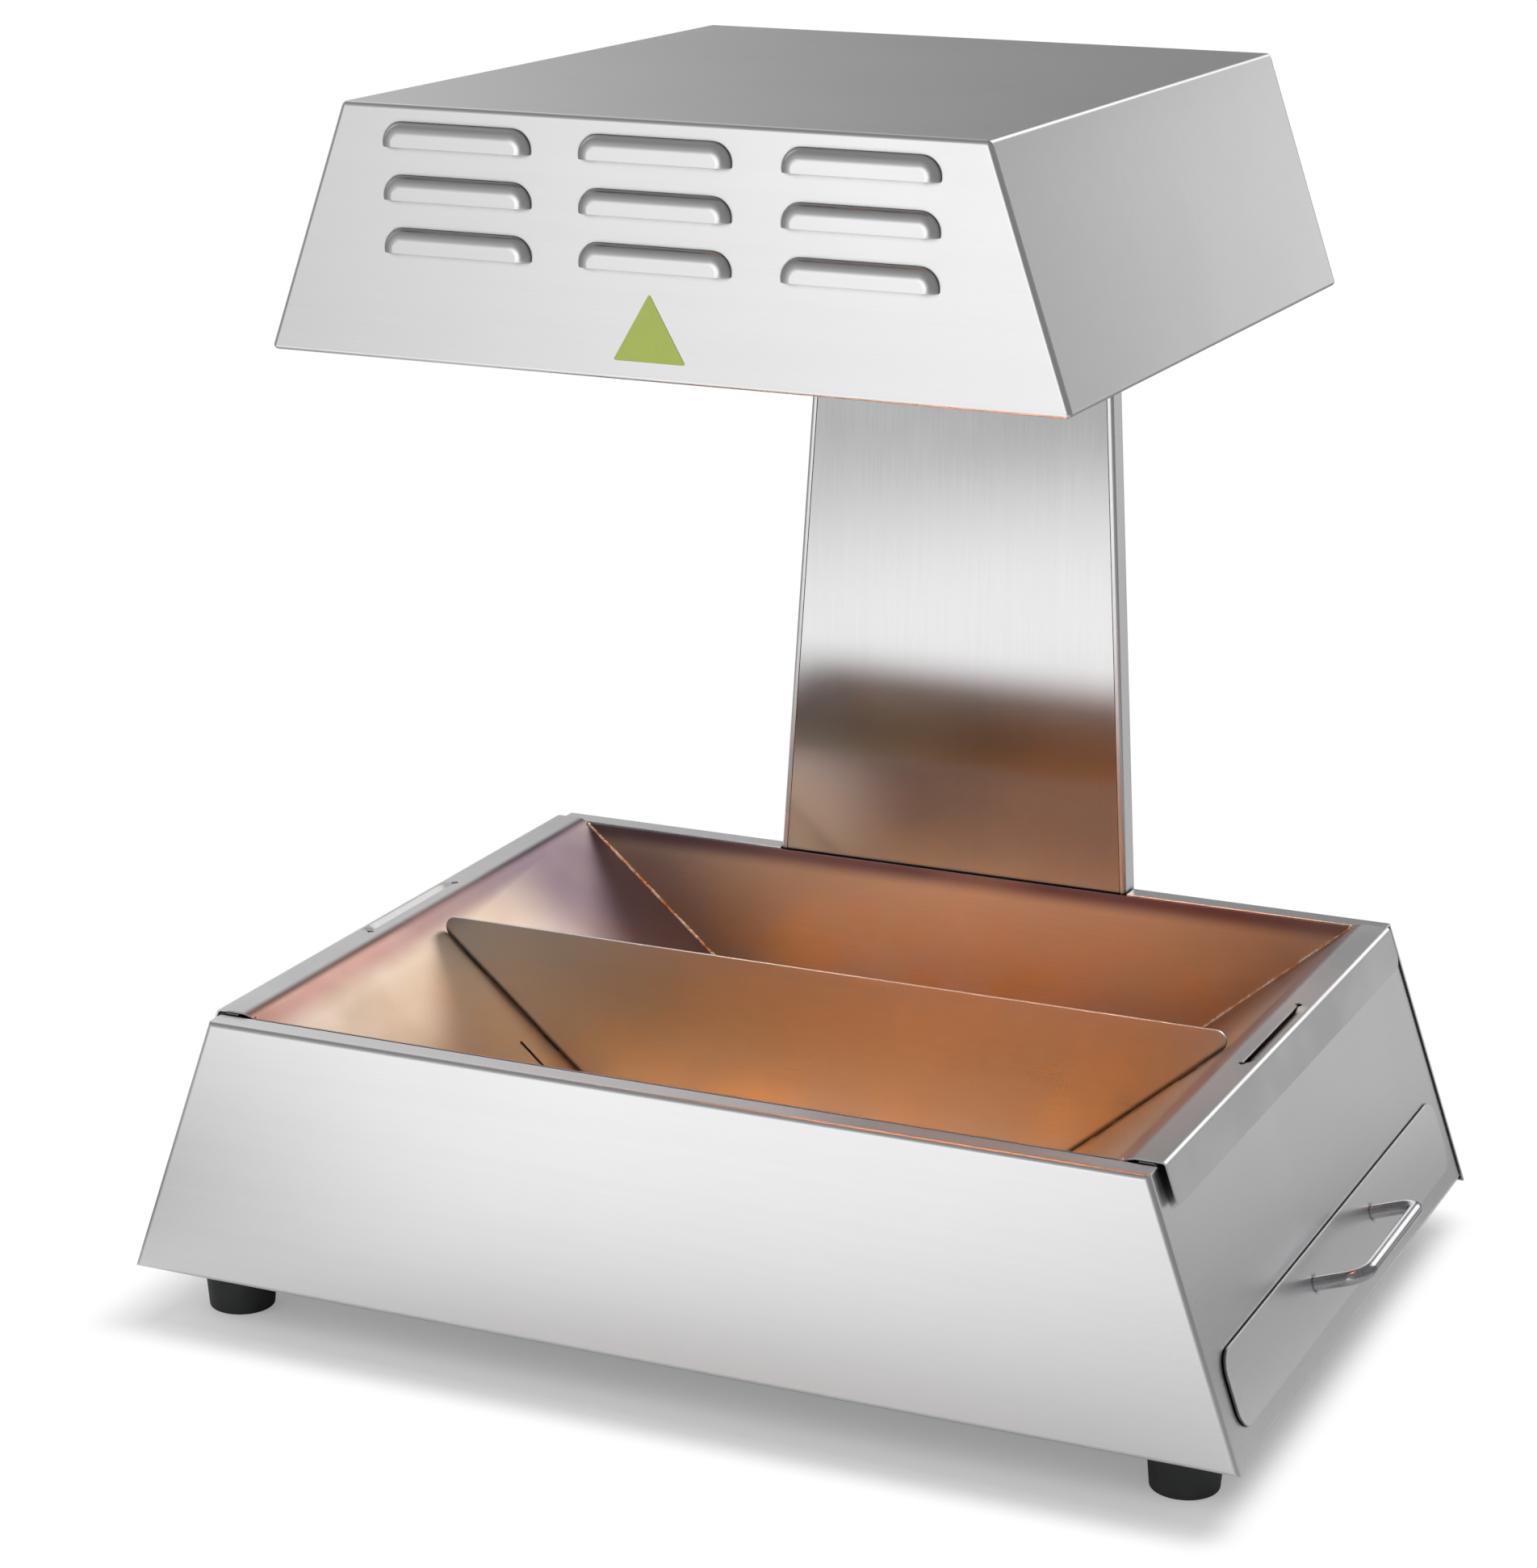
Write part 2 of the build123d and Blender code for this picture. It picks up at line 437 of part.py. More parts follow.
def cover_screw(x, z):
    """Pan-head screw through the rear cover and its nut inside the column."""
    outer_y = HALF_DEPTH + REAR_COVER_DEPTH
    head = cylinder((x, outer_y, z), (0, 1, 0), COVER_HEAD_RADIUS, COVER_HEAD_HEIGHT)
    head = fillet(head.edges().sort_by(Axis.Y)[-1], COVER_HEAD_ROUND)
    screw = head + cylinder((x, outer_y, z), (0, -1, 0), COVER_SCREW_RADIUS, COVER_SCREW_REACH)
    inner_y = INNER_DEPTH - BRACKET_SHEET
    nut = extrude(Plane((x, inner_y, z), z_dir=(0, -1, 0)) * hexagon(M4_FLATS), M4_NUT_HEIGHT)
    return screw, nut - cylinder((x, 0, z), (0, 1, 0), COVER_SCREW_RADIUS + THREAD_PLAY, FAR)


# ---------------------------------------------------------------- hood
def hood_block(inset, bend):
    """Whole hood as a closed block with every edge rounded."""
    depth = HALF_DEPTH - inset
    outline = trapezoid(hood_half, HOOD_BOTTOM + inset, HOOD_TOP - inset, inset)
    return fillet(across_depth(outline, -depth, depth).edges(), bend)


def louvre(inset):
    """One pressed louvre: a crowned dome with round ends, open along its lower edge."""
    wall, radius, run = -HALF_DEPTH + inset, LOUVRE_CORNER - inset, LOUVRE_CROWN - inset
    back, front = wall + SHEET / 2 + inset, wall - LOUVRE_DEPTH
    crown = EllipticalCenterArc((wall, radius - run), LOUVRE_DEPTH, run, 90, arc_size=90)
    straight = Polyline((front, radius - run), (front, 0), (back, 0), (back, radius), (wall, radius))
    section = Sketch() + make_face(crown.edges() + straight.edges())
    half = LOUVRE_LENGTH / 2 - LOUVRE_CORNER
    low = LOUVRE_CORNER - LOUVRE_HEIGHT
    dome = across_width(section, -half, half) + block(-half, half, front, back, low, 0)
    for x in (-half, half):
        button = revolve(Plane((x, 0, 0), x_dir=(0, 1, 0), z_dir=(1, 0, 0)) * section,
                         Axis((x, 0, 0), (0, 1, 0)))
        dome += button - block(-FAR, FAR, -FAR, 0, -FAR, low)
    return Pos(0, 0, -low) * dome


def louvre_places():
    """(x, z) of the lower edge of each louvre."""
    return [(column * LOUVRE_PITCH_X, HOOD_BOTTOM + LOUVRE_TOP_ROW - row * LOUVRE_PITCH_Z)
            for row in range(3) for column in (-1, 0, 1)]


def hood_seam(side, end):
    """Hairline slit where a side wall meets the rounded edge of the front or rear wall."""
    z0, z1 = HOOD_BOTTOM - 1, HOOD_TOP - HOOD_BEND
    outline = [(side * hood_half(z0, SEAM_DEPTH), z0), (side * hood_half(z0, -SEAM_DEPTH), z0),
               (side * hood_half(z1, -SEAM_DEPTH), z1), (side * hood_half(z1, SEAM_DEPTH), z1)]
    start = HALF_DEPTH - HOOD_BEND - SEAM
    y0, y1 = sorted((end * start, end * (start + SEAM)))
    return across_depth(outline, y0, y1)


def hood_shell():
    """Hood folded from one sheet: top, four walls meeting at open seams, and an inward hem."""
    hood = hood_block(0, HOOD_BEND) - hood_block(SHEET, HOOD_BEND - SHEET)
    mouth_x, mouth_y = HOOD_WIDTH_BOTTOM / 2 - HOOD_HEM, HALF_DEPTH - HOOD_HEM
    hood -= block(-mouth_x, mouth_x, -mouth_y, mouth_y, HOOD_BOTTOM - 1, HOOD_BOTTOM + 2 * SHEET)
    throat = column_half(HOOD_BOTTOM) + FIT
    hood -= block(COLUMN_X - throat, COLUMN_X + throat, COLUMN_FRONT - FIT, INNER_DEPTH,
                  HOOD_BOTTOM - 1, HOOD_BOTTOM + 3 * SHEET)
    hood -= [hood_seam(side, end) for side in (-1, 1) for end in (-1, 1)]
    outer, inner = louvre(0), louvre(SHEET)
    hood += [Pos(x, 0, z) * outer for x, z in louvre_places()]
    hood -= [Pos(x, 0, z) * inner for x, z in louvre_places()]
    return hood - cover_screw_holes(*WALL_CUT, HOOD_BOTTOM, HOOD_TOP)


# ---------------------------------------------------------------- heater
def reflector():
    """Polished sheet folded into two troughs, one over each heater."""
    low, high = REFLECTOR_FLANGE_Z, REFLECTOR_TOP
    outer, inner = HEATER_Y + TROUGH_HALF_MOUTH, HEATER_Y - TROUGH_HALF_MOUTH
    path = [(outer + REFLECTOR_FLANGE, low), (outer, low), (HEATER_Y + TROUGH_HALF_TOP, high),
            (HEATER_Y - TROUGH_HALF_TOP, high), (inner, low)]
    path += [(-y, z) for y, z in reversed(path)]
    return across_width(folded(path, inside=REFLECTOR_BEND), -REFLECTOR_HALF, REFLECTOR_HALF)


def reflector_end():
    """Right end plate of the reflector, bored for the two heater caps."""
    half = HEATER_Y + TROUGH_HALF_MOUTH + REFLECTOR_FLANGE
    low, high, shoulder = REFLECTOR_FLANGE_Z, REFLECTOR_TOP + END_RISE, half - END_SHOULDER
    plate = across_width([(-half, low), (half, low), (shoulder, high), (-shoulder, high)],
                         REFLECTOR_HALF, REFLECTOR_HALF + COLUMN_SHEET)
    return plate - [cylinder((0, y, HEATER_Z), (1, 0, 0), CAP_SOCKET_RADIUS + FIT, FAR)
                    for y in (-HEATER_Y, HEATER_Y)]


def hanger_posts():
    """Studs that hang the reflector from the top of the hood."""
    return [upright(HANGER_RADIUS, REFLECTOR_TOP + SHEET, HOOD_TOP - SHEET, x, y) for x, y in HANGERS]


def quartz_tube(y):
    """Hollow quartz tube of one heater."""
    tube = cylinder((-HEATER_HALF, y, HEATER_Z), (1, 0, 0), QUARTZ_RADIUS, 2 * HEATER_HALF)
    return tube - cylinder((-HEATER_HALF, y, HEATER_Z), (1, 0, 0), QUARTZ_BORE, 2 * HEATER_HALF)


def heater_coil(y):
    """Heating coil inside one tube, as a plain bar of its outer size."""
    return cylinder((-HEATER_HALF, y, HEATER_Z), (1, 0, 0), COIL_RADIUS, 2 * HEATER_HALF)


def heater_cap(y):
    """Right-hand ceramic cap: socket, neck through the end plate, collar and tail."""
    start, collar = HEATER_HALF - CAP_SOCKET, REFLECTOR_HALF + COLUMN_SHEET
    rim = collar + CAP_COLLAR
    section = [(start, 0), (start, CAP_SOCKET_RADIUS), (collar, CAP_SOCKET_RADIUS),
               (collar, CAP_COLLAR_RADIUS), (rim, CAP_COLLAR_RADIUS), (rim, CAP_TAIL_RADIUS),
               (HEATER_TAIL, CAP_TAIL_RADIUS), (HEATER_TAIL, 0)]
    cap = revolve(Plane.XY * make_face(Polyline(*section, close=True)), Axis.X)
    cap -= cylinder((start - 1, 0, 0), (1, 0, 0), QUARTZ_RADIUS + THREAD_PLAY, CAP_SOCKET + 1)
    return Pos(0, y, HEATER_Z) * cap


def guard_frame():
    """Rod bent into a rounded ring under the reflector, on four short legs."""
    loop = Plane((0, 0, GUARD_Z)) * RectangleRounded(2 * GUARD_X, 2 * GUARD_Y, GUARD_CORNER)
    path = loop.wire()
    frame = sweep(Plane(path @ 0, z_dir=path % 0) * Circle(GUARD_ROD_RADIUS), path=path)
    leg_x = (GUARD_WIRES / 2 - 1) * GUARD_PITCH
    for x in (-leg_x, leg_x):
        for y in (-GUARD_Y, GUARD_Y):
            frame += upright(GUARD_ROD_RADIUS, GUARD_Z, REFLECTOR_FLANGE_Z, x, y)
    return frame


def guard_wires():
    """Cross wires laid on the frame and welded to it at both ends."""
    z = GUARD_Z + GUARD_ROD_RADIUS + GUARD_WIRE_RADIUS
    reach = GUARD_Y + GUARD_ROD_RADIUS
    first = -(GUARD_WIRES - 1) / 2 * GUARD_PITCH
    return [cylinder((first + index * GUARD_PITCH, -reach, z), (0, 1, 0), GUARD_WIRE_RADIUS, 2 * reach)
            for index in range(GUARD_WIRES)]


# ---------------------------------------------------------------- wiring
def terminal_block(spans):
    """Block of two-screw terminals with raised barriers between the poles."""
    (x0, x1), (y0, y1), (z0, z1) = spans
    body = block(x0, x1, y0, y1, z0, z1)
    pitch = (x1 - x0) / TERMINAL_POLES
    for pole in range(TERMINAL_POLES):
        left = x0 + pole * pitch + TERMINAL_WALL
        right = left + pitch - 2 * TERMINAL_WALL
        for low, high in ((z0 - 1, z0 + TERMINAL_STEP), (z1 - TERMINAL_STEP, z1 + 1)):
            body -= block(left, right, y0 - 1, y0 + TERMINAL_POCKET, low, high)
    return body


def column_harness():
    """Sleeved wires from the housing's terminals, up the column, to the hood's terminals."""
    start, finish = BASE_TERMINALS[0][1], HOOD_TERMINALS[0][0]
    stops = ((start, HARNESS_LOW), (HARNESS_X, HARNESS_LOW), (HARNESS_X, HARNESS_HIGH),
             (finish, HARNESS_HIGH))
    return bent_rod(HARNESS_RADIUS, HARNESS_BEND, *[(x, HARNESS_Y, z) for x, z in stops])


def pole_x(spans, pole):
    """Middle of one pole of a terminal block, across its width."""
    x0, x1 = spans[0]
    return x0 + (pole + 0.5) * (x1 - x0) / TERMINAL_POLES


def heater_lead(side, end, pole):
    """Wire from one heater cap, over the reflector, into a pocket of the hood's terminals."""
    (z0, z1), finish = HOOD_TERMINALS[2], HOOD_TERMINALS[1][0] + TERMINAL_POCKET
    over = z0 + LEAD_LIFT if end > 0 else z1 - LEAD_LIFT
    x, y = pole_x(HOOD_TERMINALS, pole), end * HEATER_Y
    tail, turn = side * HEATER_TAIL, side * (HEATER_TAIL + HEATER_LEAD_OUT)
    return bent_rod(LEAD_RADIUS, LEAD_BEND, (tail, y, HEATER_Z), (turn, y, HEATER_Z), (turn, y, over),
                    (x, y, over), (x, finish, over))


def switch_lead(side):
    """One of the two wires from the power switch to a pocket of the housing's terminals."""
    finish, z = BASE_TERMINALS[1][0] + TERMINAL_POCKET, BASE_TERMINALS[2][1] - LEAD_LIFT
    start, loop_y = SWITCH_X + side * SWITCH_LEAD_X, SWITCH_LEAD_LOOP - side * SWITCH_LEAD_X
    x = pole_x(BASE_TERMINALS, 1 if side < 0 else 2)
    return bent_rod(LEAD_RADIUS, LEAD_BEND, (start, SWITCH_BACK, SWITCH_Z), (start, loop_y, SWITCH_Z),
                    (x, loop_y, SWITCH_Z), (x, loop_y, z), (x, finish, z))


def switch_block(half, y0, y1):
    """Block centred on the switch, between two depths."""
    half_x, half_z = half
    return block(SWITCH_X - half_x, SWITCH_X + half_x, y0, y1, SWITCH_Z - half_z, SWITCH_Z + half_z)


def trunnion(play):
    """Round pin through the switch on the rocker's axis."""
    half = TRUNNION_HALF + play
    return cylinder((SWITCH_X - half, ROCKER_PIVOT_Y, SWITCH_Z), (1, 0, 0), TRUNNION_RADIUS + play / 2,
                    2 * half)


def switch_housing():
    """Snap-in housing of the power switch: bezel outside, body through the rear panel."""
    bezel = switch_block(SWITCH_BEZEL, HALF_DEPTH, HALF_DEPTH + SWITCH_PROUD)
    bezel = fillet(bezel.faces().sort_by(Axis.Y)[-1].edges(), SWITCH_EDGE)
    body = switch_block(SWITCH_BODY, SWITCH_BACK, HALF_DEPTH)
    return bezel + body - switch_block(SWITCH_WELL, SWITCH_WELL_FLOOR, FAR) - trunnion(HOLE_PLAY)


def switch_rocker():
    """Rocker with a dished face on its two trunnions, resting in the on position."""
    (nose_y, nose_z), (tail_y, tail_z) = ROCKER_NOSE, ROCKER_TAIL
    dish = make_face([Polyline((nose_y, nose_z), (tail_y, tail_z), (tail_y, -tail_z), (nose_y, -nose_z)),
                      ThreePointArc((nose_y, -nose_z), (ROCKER_DISH, 0), (nose_y, nose_z))])
    rocker = across_width(dish, -ROCKER_HALF, ROCKER_HALF)
    return Pos(SWITCH_X, ROCKER_PIVOT_Y, SWITCH_Z) * Rot(ROCKER_TILT, 0, 0) * rocker + trunnion(0)


def cable_gland():
    """Gland body, dome nut and lock nut of the empty cable entry."""
    def bar(y, radius, length):
        """Round length of the gland from one depth."""
        return cylinder((GLAND_X, y, GLAND_Z), (0, 1, 0), radius, length)

    def hexed(y, length):
        """Hexagonal length of the gland from one depth."""
        return extrude(Plane((GLAND_X, y, GLAND_Z), z_dir=(0, 1, 0)) * hexagon(GLAND_FLATS), length)

    collar = HALF_DEPTH + GLAND_COLLAR
    body = bar(GLAND_THREAD_START, GLAND_THREAD, HALF_DEPTH - GLAND_THREAD_START)
    body += hexed(HALF_DEPTH, GLAND_COLLAR)
    body += bar(collar, GLAND_NECK, GLAND_NECK_REACH)
    dome = bar(collar, GLAND_DOME, GLAND_DOME_REACH)
    dome = fillet(dome.edges().sort_by(Axis.Y)[-1], GLAND_DOME_ROUND)
    dome -= bar(collar - 1, GLAND_NECK + THREAD_PLAY, GLAND_NECK_REACH + 1 + FIT)
    lock_nut = hexed(GLAND_LOCK_START, GLAND_LOCK_HEIGHT) - bar(0, GLAND_THREAD + THREAD_PLAY, FAR)
    bore = bar(0, GLAND_BORE, FAR)
    return body - bore, dome - bore, lock_nut


# ---------------------------------------------------------------- hopper
def grip_flap(side):
    """Pressed-down edge of the grip slit, ramped at both ends."""
    sections = []
    for y, drop in ((-GRIP_HALF, 0), (GRIP_RAMP - GRIP_HALF, GRIP_DROP),
                    (GRIP_HALF - GRIP_RAMP, GRIP_DROP), (GRIP_HALF, 0)):
        inner, outer = side * (GRIP_X + GRIP_SLIT), side * GRIP_OUTER_X
        outline = Polyline((inner, y, PAN_TOP - drop), (outer, y, PAN_TOP), (outer, y, PAN_TOP - SHEET),
                           (inner, y, PAN_TOP - drop - SHEET), close=True)
        sections.append(make_face(outline))
    return loft(sections, ruled=True)


def grip_relief(side):
    """Small lozenges punched at both ends of a grip slit."""
    x, r = side * (GRIP_X + GRIP_SLIT / 2), GRIP_RELIEF
    lozenge = make_face(Polyline((-r, 0), (0, -r), (r, 0), (0, r), close=True))
    return [extrude(Pos(x, y, PAN_TOP - 2 * SHEET) * lozenge, 3 * SHEET) for y in (-GRIP_HALF, GRIP_HALF)]


def lip_corners(pan, y, radius):
    """Round the lower corners of both lips at one end."""
    low = PAN_TOP - PAN_LIP_DROP
    end = pan.edges().filter_by_position(Axis.Y, y - 0.01, y + 0.01)
    short = [edge for edge in end if edge.length < 2 * SHEET and abs((edge @ 0.5).Z - low) < SHEET]
    return fillet([edge for edge in short if abs((edge @ 0.5).X) > GRIP_OUTER_X], radius)


def hopper_pan():
    """Lift-out hopper: sloped side walls, flanges with down-turned lips, welded end walls."""
    lip_z = PAN_TOP - PAN_LIP_DROP
    half = [(base_half(lip_z, -PAN_LIP_PROUD), lip_z), (base_half(PAN_TOP, -PAN_LIP_PROUD), PAN_TOP),
            (PAN_MOUTH_HALF, PAN_TOP), (PAN_FLOOR_HALF, PAN_FLOOR)]
    path = [(-x, z) for x, z in half] + list(reversed(half))
    bends = [BEND_INSIDE, PAN_MOUTH_BEND, BEND_INSIDE]
    section = folded(path, inside=bends + bends[::-1])
    pan = across_depth(section, -PAN_HALF_DEPTH, PAN_HALF_DEPTH)
    pan = lip_corners(pan, PAN_HALF_DEPTH, PAN_LIP_REAR_CORNER)
    pan = lip_corners(pan, -PAN_HALF_DEPTH, PAN_LIP_FRONT_CORNER)
    low = PAN_FLOOR - SHEET
    for y0 in (-PAN_HALF_DEPTH, PAN_HALF_DEPTH - SHEET):
        pan += across_depth(trapezoid(pan_half, low, PAN_END_TOP, SHEET), y0, y0 + SHEET)
    for side in (-1, 1):
        x0, x1 = sorted((side * GRIP_X, side * GRIP_OUTER_X))
        pan -= block(x0, x1, -GRIP_HALF, GRIP_HALF, PAN_TOP - 2 * SHEET, PAN_TOP + 1)
        pan += grip_flap(side)
        pan -= grip_relief(side)
        x0, x1 = sorted((side * PAN_FLOOR_HALF, side * PAN_MOUTH_HALF))
        for z0, z1 in TAB_SLOTS:
            pan -= block(x0, x1, DIVIDER_Y - TAB_SLOT_HALF, DIVIDER_Y + TAB_SLOT_HALF, z0, z1)
        pan -= block(x0, x1, SPARE_SLOT_Y - TAB_SLOT_HALF, SPARE_SLOT_Y + TAB_SLOT_HALF, *TAB_SLOTS[1])
    drain = Plane((0, 0, PAN_FLOOR - 2 * SHEET)) * SlotOverall(DRAIN_LENGTH, DRAIN_WIDTH)
    drain = extrude(drain, 3 * SHEET)
    return pan - [Pos(x * DRAIN_PITCH_X, y * DRAIN_PITCH_Y, 0) * drain
                  for x in (-2, -1, 0, 1, 2) for y in (-3, -2, -1, 1, 2, 3)]


def divider_plate():
    """Loose plate across the hopper, with rounded noses and two tabs at each end."""
    low = PAN_FLOOR + FIT
    reach = FIT + TAB_REACH

    def edge(z, out=0.0):
        """Point on the sloped edge at height z, moved squarely outwards."""
        x = pan_half(z, -FIT)
        return x + out * math.cos(PAN_LEAN), z - out * math.sin(PAN_LEAN)

    plate = make_face(Polyline(*trapezoid(pan_half, low, DIVIDER_TOP, -FIT), close=True))
    plate = fillet(plate.vertices().group_by(Axis.Y)[-1], DIVIDER_NOSE)
    plate = fillet(plate.vertices().group_by(Axis.Y)[0], DIVIDER_HEEL)
    for z0, z1 in TAB_SLOTS:
        z0, z1 = z0 + TAB_SLACK, z1 - TAB_SLACK
        tab = [edge(z0, -2), edge(z0, reach), edge(z1, reach), edge(z1, -2)]
        for side in (-1, 1):
            plate += make_face(Polyline(*[(side * x, z) for x, z in tab], close=True))
    return across_depth(plate, DIVIDER_Y - DIVIDER_THICKNESS / 2, DIVIDER_Y + DIVIDER_THICKNESS / 2)


# ---------------------------------------------------------------- drawer
def drawer_guide():
    """Rear guide: upstand and ledge for the tray's rim on a leg from the bottom plate."""
    ledge = TRAY_Z[1] - SHEET - FIT - SHEET
    path = [(GUIDE_OUTER, ledge + GUIDE_UPSTAND), (GUIDE_OUTER, ledge), (GUIDE_INNER, ledge),
            (GUIDE_INNER, 3 * SHEET), (GUIDE_LEG, 3 * SHEET)]
    return across_width(folded(path, inside=GUIDE_BEND), *GUIDE_X)


def drawer_tray():
    """Floor of the crumb drawer with its two ends folded up, the right one leaning."""
    low, high = TRAY_Z
    path = [(base_half(high, -DRAWER_FACE), high), (base_half(low, -DRAWER_FACE), low),
            (TRAY_LEFT, low), (TRAY_LEFT, high)]
    tray = across_depth(folded(path, inside=TRAY_BEND), -TRAY_HALF, TRAY_HALF)
    return tray - [handle_hole(y) for y in (-HANDLE_SPACING / 2, HANDLE_SPACING / 2)]


def drawer_side(tray):
    """Rear side of the drawer, spot-welded between its ends, with a rim that slides on the guide."""
    low, high = TRAY_Z[0] + SHEET, TRAY_Z[1]
    path = [(TRAY_HALF - SHEET, low), (TRAY_HALF - SHEET, high), (TRAY_RIM_HALF, high)]
    strip = across_width(folded(path, inside=TRAY_BEND), -FAR, FAR)
    inside = SHEET - DRAWER_FACE
    strip &= across_depth([(TRAY_LEFT + SHEET, low), (base_half(low, inside), low),
                           (base_half(high, inside), high), (TRAY_LEFT + SHEET, high)], 0, FAR)
    return strip - tray


def slope_point(y, z, out):
    """Point above the right side's plane, at height z on the plane and a distance off it."""
    return SIDE_FACE.from_local_coords((y, z / math.cos(BASE_LEAN), out))


def handle_hole(y):
    """Clearance hole for a handle screw through the tray's end and the drawer plate."""
    start = slope_point(y, HANDLE_Z, DRAWER_FACE - 2 * SHEET)
    return cylinder(start, OUTWARD, HANDLE_SCREW_RADIUS + HOLE_PLAY, 3 * SHEET + DRAWER_PLATE_SHEET)


def drawer_front_plate():
    """Rounded plate that closes the drawer opening, standing off the sloped side."""
    low, high = (z / math.cos(BASE_LEAN) for z in DRAWER_PLATE_Z)
    outline = RectangleRounded(2 * DRAWER_PLATE_HALF, high - low, DRAWER_PLATE_CORNER)
    outline = Pos(0, (low + high) / 2) * outline
    plate = extrude(SIDE_FACE.offset(DRAWER_FACE) * outline, DRAWER_PLATE_SHEET)
    return plate - [handle_hole(y) for y in (-HANDLE_SPACING / 2, HANDLE_SPACING / 2)]


def drawer_handle():
    """Round bar handle, square to the sloped plate, tapped at both ends."""
    foot = DRAWER_FACE + DRAWER_PLATE_SHEET
    half = HANDLE_SPACING / 2
    route = [slope_point(-half, HANDLE_Z, foot), slope_point(-half, HANDLE_Z, foot + HANDLE_REACH),
             slope_point(half, HANDLE_Z, foot + HANDLE_REACH), slope_point(half, HANDLE_Z, foot)]
    handle = bent_rod(HANDLE_ROD / 2, HANDLE_BEND, *route)
    bore = HANDLE_SCREW_RADIUS + THREAD_PLAY
    return handle - [cylinder(slope_point(y, HANDLE_Z, foot - 1), OUTWARD, bore, HANDLE_THREAD + 1)
                     for y in (-half, half)]


def handle_screws():
    """Two pan-head screws inside the tray that hold the plate and handle."""
    seat = DRAWER_FACE - SHEET
    length = SHEET + DRAWER_PLATE_SHEET + HANDLE_THREAD - 1
    screws = []
    for y in (-HANDLE_SPACING / 2, HANDLE_SPACING / 2):
        head = cylinder(slope_point(y, HANDLE_Z, seat - HANDLE_HEAD_HEIGHT), OUTWARD,
                        HANDLE_HEAD_RADIUS, HANDLE_HEAD_HEIGHT)
        screws.append(head + cylinder(slope_point(y, HANDLE_Z, seat), OUTWARD, HANDLE_SCREW_RADIUS, length))
    return screws


# ---------------------------------------------------------------- writing
def write(name, shape):
    """Write one node, raised so that the feet stand on the table."""
    solids = shape if isinstance(shape, (list, tuple)) else [shape]
    placed = [Pos(0, 0, FOOT_HEIGHT) * solid for solid in solids]
    export_step(placed[0] if len(placed) == 1 else Compound(children=placed), f"parts/{name}.step")


def main():
    """Build every piece and write it to its own file."""
    os.makedirs("parts", exist_ok=True)
    write("base_front_panel", end_panel())
    write("base_rear_panel", base_rear_panel())
    write("base_side_panel_left", mirror(side_panel(), about=Plane.YZ))
    write("base_side_panel_right", base_side_panel_right())
    write("base_bottom_plate", base_bottom_plate())

    names = ("foot_front_left", "foot_front_right", "foot_rear_left", "foot_rear_right")
    foot, hardware = rubber_foot(), foot_hardware()
    for name, (x, y) in zip(names, foot_points()):
        write(name, Pos(x, y, 0) * foot)
    for name, piece in zip(("foot_washers", "foot_screws", "foot_nuts"), hardware):
        write(name, [Pos(x, y, 0) * piece for x, y in foot_points()])

    write("column_channel", column_channel())
    write("column_front_cover", column_front_cover())
    write("column_rear_cover", column_rear_cover())
    write("column_foot_bracket", column_foot_bracket())
    write("column_head_bracket", column_head_bracket())
    bolts, nuts = zip(*[column_bolt(x) for x in FOOT_BOLTS_X])
    write("column_foot_bolts", bolts)
    write("column_foot_nuts", nuts)
    screws, nuts = zip(*[cover_screw(x, z) for x, z in cover_screw_points()])
    write("rear_cover_screws", screws)
    write("rear_cover_nuts", nuts)

    write("hood_shell", hood_shell())
    write("reflector", reflector())
    for name, plate in zip(("reflector_end_right", "reflector_end_left"), both_sides(reflector_end())):
        write(name, plate)
    write("hanger_posts", hanger_posts())
    for name, y in (("front", -HEATER_Y), ("rear", HEATER_Y)):
        write(f"quartz_tube_{name}", quartz_tube(y))
        write(f"heater_coil_{name}", heater_coil(y))
        for side, cap in zip(("right", "left"), both_sides(heater_cap(y))):
            write(f"heater_cap_{name}_{side}", cap)
    write("guard_frame", guard_frame())
    write("guard_wires", guard_wires())

    write("base_terminal_block", terminal_block(BASE_TERMINALS))
    write("hood_terminal_block", terminal_block(HOOD_TERMINALS))
    write("column_harness", column_harness())
    for pole, (name, side, end) in enumerate((("front_left", -1, -1), ("rear_left", -1, 1),
                                              ("front_right", 1, -1), ("rear_right", 1, 1))):
        write(f"heater_lead_{name}", heater_lead(side, end, pole))
    write("switch_lead_left", switch_lead(-1))
    write("switch_lead_right", switch_lead(1))
    write("switch_housing", switch_housing())
    write("switch_rocker", switch_rocker())
    for name, piece in zip(("cable_gland_body", "cable_gland_dome", "cable_gland_lock_nut"), cable_gland()):
        write(name, piece)

    write("hopper_pan", hopper_pan())
    write("divider_plate", divider_plate())

    guide = drawer_guide()
    write("drawer_guide_rear", guide)
    write("drawer_guide_front", mirror(guide, about=Plane.XZ))
    tray = drawer_tray()
    side = drawer_side(tray)
    write("drawer_tray", tray)
    write("drawer_side_rear", side)
    write("drawer_side_front", mirror(side, about=Plane.XZ))
    write("drawer_front_plate", drawer_front_plate())
    write("drawer_handle", drawer_handle())
    write("handle_screws", handle_screws())


if __name__ == "__main__":
    main()
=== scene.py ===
"""Looks of a counter-top chip warmer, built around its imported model.

Sheet-metal pieces keep their solids and get brushed, rolled or galvanised finishes. Blank sign,
weld beads, wound heating coils, cross-recessed screws and switch marks are modelled here.
"""

import json
import logging
import math
from dataclasses import dataclass, field
from enum import Enum
from typing import Iterable, Optional, Sequence

import bmesh
import bpy
from mathutils import Matrix, Quaternion, Vector

